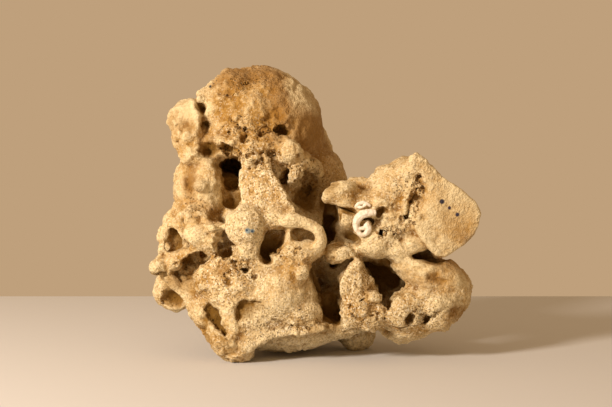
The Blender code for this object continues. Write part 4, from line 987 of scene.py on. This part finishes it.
def cut_level(body):
    """Flat spots where the stone has worn against the ground."""
    mesh = bmesh.new()
    mesh.from_mesh(body.data)
    cut = bmesh.ops.bisect_plane(
        mesh,
        geom=mesh.verts[:] + mesh.edges[:] + mesh.faces[:],
        plane_co=(0, 0, GROUND * MM),
        plane_no=(0, 0, -1),
        clear_outer=True,
    )
    rims = [item for item in cut["geom_cut"] if isinstance(item, bmesh.types.BMEdge)]
    flats = bmesh.ops.contextual_create(mesh, geom=rims)["faces"]
    bmesh.ops.triangulate(mesh, faces=flats)
    bmesh.ops.recalc_face_normals(mesh, faces=mesh.faces)
    mesh.to_mesh(body.data)
    mesh.free()


def deepened(points, depth):
    """The points of a crack's mouth, from a little in front of it to its full depth."""
    for step in range(-1, math.ceil(depth / CRACK_STEP) + 1):
        yield [(x, y + step * CRACK_STEP, z, radius) for x, y, z, radius in points]


def relief(body, kind, size, height, level, settings, group=""):
    """Lifts and sinks the skin by a pattern, as far as the vertex group lets it."""
    pattern = bpy.data.textures.new(f"relief_{size:g}", kind)
    pattern.noise_scale = size * MM
    for name, value in settings.items():
        setattr(pattern, name, value)
    lift = body.modifiers.new("relief", "DISPLACE")
    lift.texture = pattern
    lift.texture_coords = "LOCAL"
    lift.strength = height * MM
    lift.mid_level = level
    lift.vertex_group = group
    activate(body)
    bpy.ops.object.modifier_apply(modifier=lift.name)


def places(body):
    """The places of the vertices, in millimetres."""
    found = np.empty(len(body.data.vertices) * 3)
    body.data.vertices.foreach_get("co", found)
    return found.reshape(-1, 3) / MM


def patches(points, rows, start=0.0):
    """How strongly each point is covered by soft-edged patches, each a centre, radii and strength."""
    cover = np.full(len(points), start)
    for centre, radii, strength in rows:
        reach = np.clip(1.5 - np.linalg.norm((points - centre) / radii, axis=1), 0, 1)
        cover += (strength - cover) * reach
    return cover


def weigh(body, name, shares):
    """A vertex group with a share from 0 to 1 for each vertex, in twentieths."""
    group = body.vertex_groups.new(name=name)
    steps = np.round(shares * 20).astype(int)
    for step in np.unique(steps):
        group.add(np.flatnonzero(steps == step).tolist(), step / 20, "REPLACE")


def crumbled(body):
    """Small pits and loose grains on the parts that crumble: cutters, and grains to be set on."""
    draw = random.Random(CRUMBLE_SEED)
    points = places(body)
    facing = np.array([vert.normal.y for vert in body.data.vertices]) < 0.35
    cutters, grains = [], []
    for centre, radii, pit_count, pit_sizes, grain_count in CRUMBLING:
        near = np.linalg.norm((points - centre) / radii, axis=1) < 1
        spots = np.flatnonzero(near & facing).tolist()
        for _ in range(min(pit_count, len(spots))):
            radius = draw.uniform(*pit_sizes)
            widths = (radius * draw.uniform(0.8, 1.6), radius * 1.4, radius * draw.uniform(0.7, 1.3))
            turn = (0, draw.uniform(0, 180), 0)
            cutters.append(lump("small_pit", points[draw.choice(spots)], widths, turn, rings=1))
        for _ in range(min(grain_count, len(spots))):
            radius = draw.uniform(*CRUMBLE_GRAIN)
            widths = [radius * draw.uniform(0.8, 1.3) for _ in range(3)]
            grains.append(lump("grain", points[draw.choice(spots)], widths, (0, draw.uniform(0, 180), 0), rings=1))
    return cutters, grains


def roughen(body):
    """Crumbles the skin in patches, less where it is rubbed smooth."""
    points = places(body)
    cover = patches(points, [row[1:] for row in CALM], CRUST_ROUGHNESS)
    clumps = np.array([noise.noise(Vector(point)) for point in points / CRUMBLE_PATCH])
    cover *= 1 - CRUMBLE_SHARE * np.clip(0.5 - 1.2 * clumps, 0, 1)
    weigh(body, "rough", cover)
    for row in RELIEF:
        relief(body, *row, group="rough")
    weigh(body, "sandy", np.clip(patches(points, SANDY), 0, 1))
    for row in SANDY_RELIEF:
        relief(body, *row, group="sandy")


def paint(body, name, values):
    """Keeps one number for each vertex, for the material to read."""
    layer = body.data.attributes.new(name, "FLOAT", "POINT")
    layer.data.foreach_set("value", np.clip(values, 0, 1).astype(np.float32))


def recess_depths(body, envelope):
    """How deep each vertex lies under the skin that the stone had before it was bored, in millimetres."""
    depths = []
    for vert in body.data.vertices:
        place, normal, index, distance = envelope.find_nearest(vert.co)
        inside = (vert.co - place).dot(normal) < 0
        depths.append(distance / MM if inside else 0)
    return np.array(depths)


def hollowness(body):
    """How far each vertex lies under a smoothed copy of the skin, in millimetres: above 0 in hollows, below 0 on knobs."""
    activate(body)
    bpy.ops.object.duplicate()
    copy = bpy.context.object
    smooth = copy.modifiers.new("soften", "SMOOTH")
    smooth.factor = 0.9
    smooth.iterations = 25
    bpy.ops.object.modifier_apply(modifier=smooth.name)
    normals = np.empty(len(body.data.vertices) * 3)
    body.data.vertices.foreach_get("normal", normals)
    gap = ((places(copy) - places(body)) * normals.reshape(-1, 3)).sum(axis=1)
    bpy.data.objects.remove(copy)
    return gap


def fit_move(body, low, high):
    """The matrix that brings the body's box to the box given."""
    points = places(body) * MM
    own_low, own_high = points.min(axis=0), points.max(axis=0)
    sizes = (np.array(high) - np.array(low)) / (own_high - own_low)
    start = Matrix.Translation(Vector(-own_low))
    return Matrix.Translation(Vector(low)) @ Matrix.Diagonal((*sizes, 1)) @ start


def linear(hex_colour):
    """An sRGB hex colour as the linear values that a shader takes."""
    shares = [int(hex_colour[start:start + 2], 16) / 255 for start in (1, 3, 5)]
    return tuple(s / 12.92 if s <= 0.04045 else ((s + 0.055) / 1.055) ** 2.4 for s in shares) + (1.0,)


def node(tree, kind, inputs=(), **settings):
    """Adds a node with its settings, and sets or links its inputs."""
    made = tree.nodes.new(kind)
    for name, value in settings.items():
        setattr(made, name, value)
    for key, value in dict(inputs).items():
        if isinstance(value, bpy.types.NodeSocket):
            tree.links.new(value, made.inputs[key])
        else:
            made.inputs[key].default_value = value
    return made


def new_material(name):
    material = bpy.data.materials.new(name)
    material.use_nodes = True
    return material, material.node_tree, material.node_tree.nodes["Principled BSDF"]


def blended(tree, factor, first, second, way="MIX"):
    """The first colour with the second laid over it by the factor."""
    inputs = {0: factor, 6: first, 7: second}
    return node(tree, "ShaderNodeMix", inputs, data_type="RGBA", blend_type=way).outputs[2]


def ranged(tree, value, low, high, floor=0.0, ceiling=1.0):
    """The value stretched so that low to high becomes floor to ceiling."""
    inputs = {"Value": value, "From Min": low, "From Max": high, "To Min": floor, "To Max": ceiling}
    return node(tree, "ShaderNodeMapRange", inputs).outputs[0]


def times(tree, first, second):
    """One number times another."""
    return node(tree, "ShaderNodeMath", {0: first, 1: second}, operation="MULTIPLY").outputs[0]


def weighted(tree, start, *terms):
    """A number that starts as given and grows by each socket times its weight."""
    total = start
    for socket, weight in terms:
        total = node(tree, "ShaderNodeMath", {0: socket, 1: weight, 2: total}, operation="MULTIPLY_ADD").outputs[0]
    return total


def beachrock_calcarenite(move):
    """Beachrock: shell sand and grit that lime has cemented and the sea has worn. It is dull and grainy, cream where it
    is rubbed, tan to ochre where it crumbles and rust brown in stained patches; painted shade darkens its creases to
    brown, its recesses and bores to olive and near black, and some rust and ochre patches paint shade on facets turned
    from the lamp."""
    material, tree, shader = new_material("beachrock_calcarenite")
    place = node(tree, "ShaderNodeTexCoord").outputs["Object"]
    noises = {}
    for name, size, detail in (("bed", 0.016, 3.0), ("mottle", 0.0045, 4.0), ("crumb", 0.0018, 3.0), ("dust", 0.0007, 2.0)):
        inputs = {"Vector": place, "Scale": 1 / size, "Detail": detail, "Roughness": 0.65}
        noises[name] = node(tree, "ShaderNodeTexNoise", inputs).outputs["Fac"]
    kept = {}
    for name in ("recess", "hollow", "knob", "rust_and_shade", "ochre", "pale", "greyish", "porous", "grainy"):
        kept[name] = node(tree, "ShaderNodeAttribute", attribute_name=name).outputs["Fac"]
    grain = node(tree, "ShaderNodeTexVoronoi", {"Vector": place, "Scale": 1 / 0.00055})
    shares = node(tree, "ShaderNodeSeparateColor", {"Color": grain.outputs["Color"]})
    pore = node(tree, "ShaderNodeTexVoronoi", {"Vector": place, "Scale": 1 / 0.0011})
    # Brown-to-cream tone from random mottling and the knob, ochre and pale patches; the pale patches are partly painted
    # light
    wear = weighted(tree, -0.49, (noises["bed"], 1.1), (noises["mottle"], 0.8), (noises["crumb"], 0.3))
    wear = weighted(tree, wear, (kept["knob"], 0.35), (kept["ochre"], -0.28), (kept["pale"], 0.35))
    ramp = node(tree, "ShaderNodeValToRGB", {"Fac": wear})
    ramp.color_ramp.elements.new(0.35)
    ramp.color_ramp.elements.new(0.55)
    for stop, place_on_ramp, colour in zip(ramp.color_ramp.elements, (0.1, 0.35, 0.58, 0.85), (BROWN, OCHRE_TAN, TAN, CREAM)):
        stop.position = place_on_ramp
        stop.color = linear(colour)
    colour = ramp.outputs["Color"]
    colour = blended(tree, ranged(tree, kept["greyish"], 0, 1, 0, 0.6), colour, linear(GREY))
    # Rust-brown stains with random mottling, partly painted shade on facets turned from the lamp
    rust_and_shade_cover = weighted(tree, -0.55, (kept["rust_and_shade"], 0.9), (noises["mottle"], 1.1))
    colour = blended(tree, ranged(tree, rust_and_shade_cover, 0.3, 0.8, 0, 0.8), colour, linear(RUST_AND_SHADE_BROWN))
    # Painted shade in creases: brown where the skin lies under its smoothed copy, partly the brown sand that fills
    # crevices
    colour = blended(tree, ranged(tree, kept["hollow"], 0.1, 0.7, 0, 0.8), colour, linear(BROWN))
    # Painted shade: the deeper a point lies under the unbored skin, the darker, down to near black
    colour = blended(tree, ranged(tree, kept["recess"], 0.1, 0.5, 0, 0.8), colour, linear(RECESS_SHADE_OLIVE))
    colour = blended(tree, ranged(tree, kept["recess"], 0.35, 0.95, 0, 0.93), colour, linear(DEEP_RECESS_SHADE))
    dark = times(tree, ranged(tree, shares.outputs[0], 0.4, 1.0), kept["grainy"])
    colour = blended(tree, dark, colour, linear(DARK_GRAIN))
    pale = weighted(tree, 0.0, (shares.outputs[1], 1.0), (kept["recess"], -0.6), (kept["rust_and_shade"], -0.15))
    pale = times(tree, ranged(tree, pale, 0.7, 1.0), kept["grainy"])
    colour = blended(tree, pale, colour, linear(PALE_GRAIN))
    pitted = weighted(tree, -0.44, (pore.outputs["Distance"], -1.0), (noises["mottle"], 0.7), (kept["porous"], 0.42))
    pitted = ranged(tree, pitted, 0.0, 0.12, 0, 0.65)
    colour = blended(tree, pitted, colour, linear(DARK_GRAIN))
    for centre, radius, tint in SPECKS:
        spot = move @ Vector(millimetres(centre))
        flat = node(tree, "ShaderNodeVectorMath", {0: place, 1: spot}, operation="SUBTRACT").outputs[0]
        flat = node(tree, "ShaderNodeVectorMath", {0: flat, 1: (1, 0.15, 1)}, operation="MULTIPLY").outputs[0]
        away = node(tree, "ShaderNodeVectorMath", {0: flat}, operation="LENGTH").outputs["Value"]
        inside = ranged(tree, away, radius * MM * 1.2, radius * MM * 0.7, 0, 0.95)
        colour = blended(tree, inside, colour, linear(tint))
    height = weighted(tree, 0.0, (noises["mottle"], 1.2), (noises["crumb"], 0.8), (noises["dust"], 0.4), (pitted, -0.6))
    bump = node(tree, "ShaderNodeBump", {"Height": height, "Strength": 0.9, "Distance": 0.0012})
    tree.links.new(colour, shader.inputs["Base Color"])
    tree.links.new(bump.outputs[0], shader.inputs["Normal"])
    shader.inputs["Roughness"].default_value = 0.95
    shader.inputs["Specular IOR Level"].default_value = 0.25
    return material


def worm_tube_calcite():
    """Calcite laid down by a worm: a hard, smooth, cream-white tube with faint growth rings and sand in its creases."""
    material, tree, shader = new_material("worm_tube_calcite")
    place = node(tree, "ShaderNodeTexCoord").outputs["Object"]
    stain = node(tree, "ShaderNodeTexNoise", {"Vector": place, "Scale": 1 / 0.0016, "Detail": 3.0})
    chalk = node(tree, "ShaderNodeTexNoise", {"Vector": place, "Scale": 1 / 0.0004, "Detail": 2.0})
    colour = blended(tree, ranged(tree, stain.outputs["Fac"], 0.45, 0.75, 0, 0.7), linear(LIME), linear(LIME_SHADE))
    bump = node(tree, "ShaderNodeBump", {"Height": chalk.outputs["Fac"], "Strength": 0.4, "Distance": 0.0002})
    tree.links.new(colour, shader.inputs["Base Color"])
    tree.links.new(bump.outputs[0], shader.inputs["Normal"])
    shader.inputs["Roughness"].default_value = 0.55
    return material


def matte_paper():
    """Matt paper under the stone: pale and even, with no gloss."""
    material, tree, shader = new_material("matte_paper")
    shader.inputs["Base Color"].default_value = linear(FLOOR_PALE)
    shader.inputs["Roughness"].default_value = 0.9
    return material


def finish_piece(piece, name, material, slot, *nodes):
    """Names a finished piece, gives it its material and smooth shading, sets it on the root body and hides the plain
    parts named.
    """
    piece.name = name
    piece.data.name = name
    piece.data.materials.clear()
    piece.data.materials.append(material)
    activate(piece)
    bpy.ops.object.shade_smooth()
    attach(piece, "root")
    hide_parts(*nodes)


def make_stone():
    body, envelope = rough_stone()
    roughen(body)
    cut_level(body)
    for name, triangles in (("back", BACK_TRIANGLES), ("front", FRONT_TRIANGLES)):
        depths = places(body)[:, 1]
        weigh(body, name, (depths > FRONT_DEPTH) == (name == "back"))
        lighten(body, name, triangles)
    for name, rows in (("tube_seat", TUBE), ("thin_tube_seat", THIN_TUBE)):
        carve(body, rib(name, rows, TUBE_GAP))
    keep_largest(body)
    points = places(body)
    hollows = hollowness(body)
    # Painted shade: how deep each vertex lies under the unbored skin, plus the painted-shade patches
    paint(body, "recess", recess_depths(body, envelope) / 9 + patches(points, PAINTED_SHADE_PATCHES))
    paint(body, "hollow", hollows / 1.2)
    paint(body, "knob", -hollows / 1.2)
    paint(body, "rust_and_shade", patches(points, RUST_AND_SHADE_PATCHES))
    paint(body, "ochre", patches(points, OCHRE))
    paint(body, "porous", patches(points, [(row[0], row[1], 1) for row in CRUMBLING]))
    paint(body, "greyish", patches(points, GREYISH))
    paint(body, "pale", patches(points, PALE))
    paint(body, "grainy", patches(points, GRAINY, 0.5))
    move = fit_move(body, *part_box("stone"))
    body.data.transform(move)
    finish_piece(body, "stone_skin", beachrock_calcarenite(move), "beach_rock", "stone")
    return move


def make_tubes(move):
    lime = worm_tube_calcite()
    for name, all_rows, stands_for in (
        ("tube_fine", (TUBE, TUBE_WEB), "worm_tube"),
        ("thin_tube_fine", (THIN_TUBE, THIN_TUBE_LOOP), "thin_worm_tube"),
    ):
        tube = fused(name, [rib(name, rows) for rows in all_rows], TUBE_VOXEL, smoothing=2)
        for row in TUBE_RINGS:
            relief(tube, *row)
        tube.data.transform(move)
        finish_piece(tube, name, lime, "tube_lime", stands_for)


def make_stage():
    bpy.ops.object.select_all(action="DESELECT")
    bpy.ops.mesh.primitive_plane_add(size=1, location=(0, FLOOR_MIDDLE, 0), scale=FLOOR_SIZE)
    floor = bpy.context.object
    floor.name = "floor"
    bpy.ops.object.transform_apply(location=True, rotation=True, scale=True)
    floor.data.materials.append(matte_paper())
    world = bpy.data.worlds.new("room_light")
    bpy.context.scene.world = world
    world.use_nodes = True
    background = world.node_tree.nodes["Background"]
    background.inputs["Color"].default_value = linear(ROOM_COLOUR)
    background.inputs["Strength"].default_value = ROOM_STRENGTH
    bpy.ops.object.light_add(type="AREA", location=KEY_PLACE)
    key = bpy.context.object
    key.name = "key_light"
    key.rotation_euler = (Vector(KEY_TARGET) - Vector(KEY_PLACE)).to_track_quat("-Z", "Y").to_euler()
    key.data.energy = KEY_POWER
    key.data.size = KEY_SIZE
    key.data.color = linear(KEY_COLOUR)[:3]
    bpy.ops.object.camera_add(location=CAMERA_PLACE, rotation=(math.radians(CAMERA_TILT), 0, 0))
    camera = bpy.context.object
    camera.data.lens = CAMERA_LENS
    camera.data.sensor_width = 36
    bpy.context.scene.camera = camera
    bpy.context.scene.view_settings.view_transform = "Standard"


bpy.ops.object.select_all(action="DESELECT")
move = make_stone()
make_tubes(move)
make_stage()
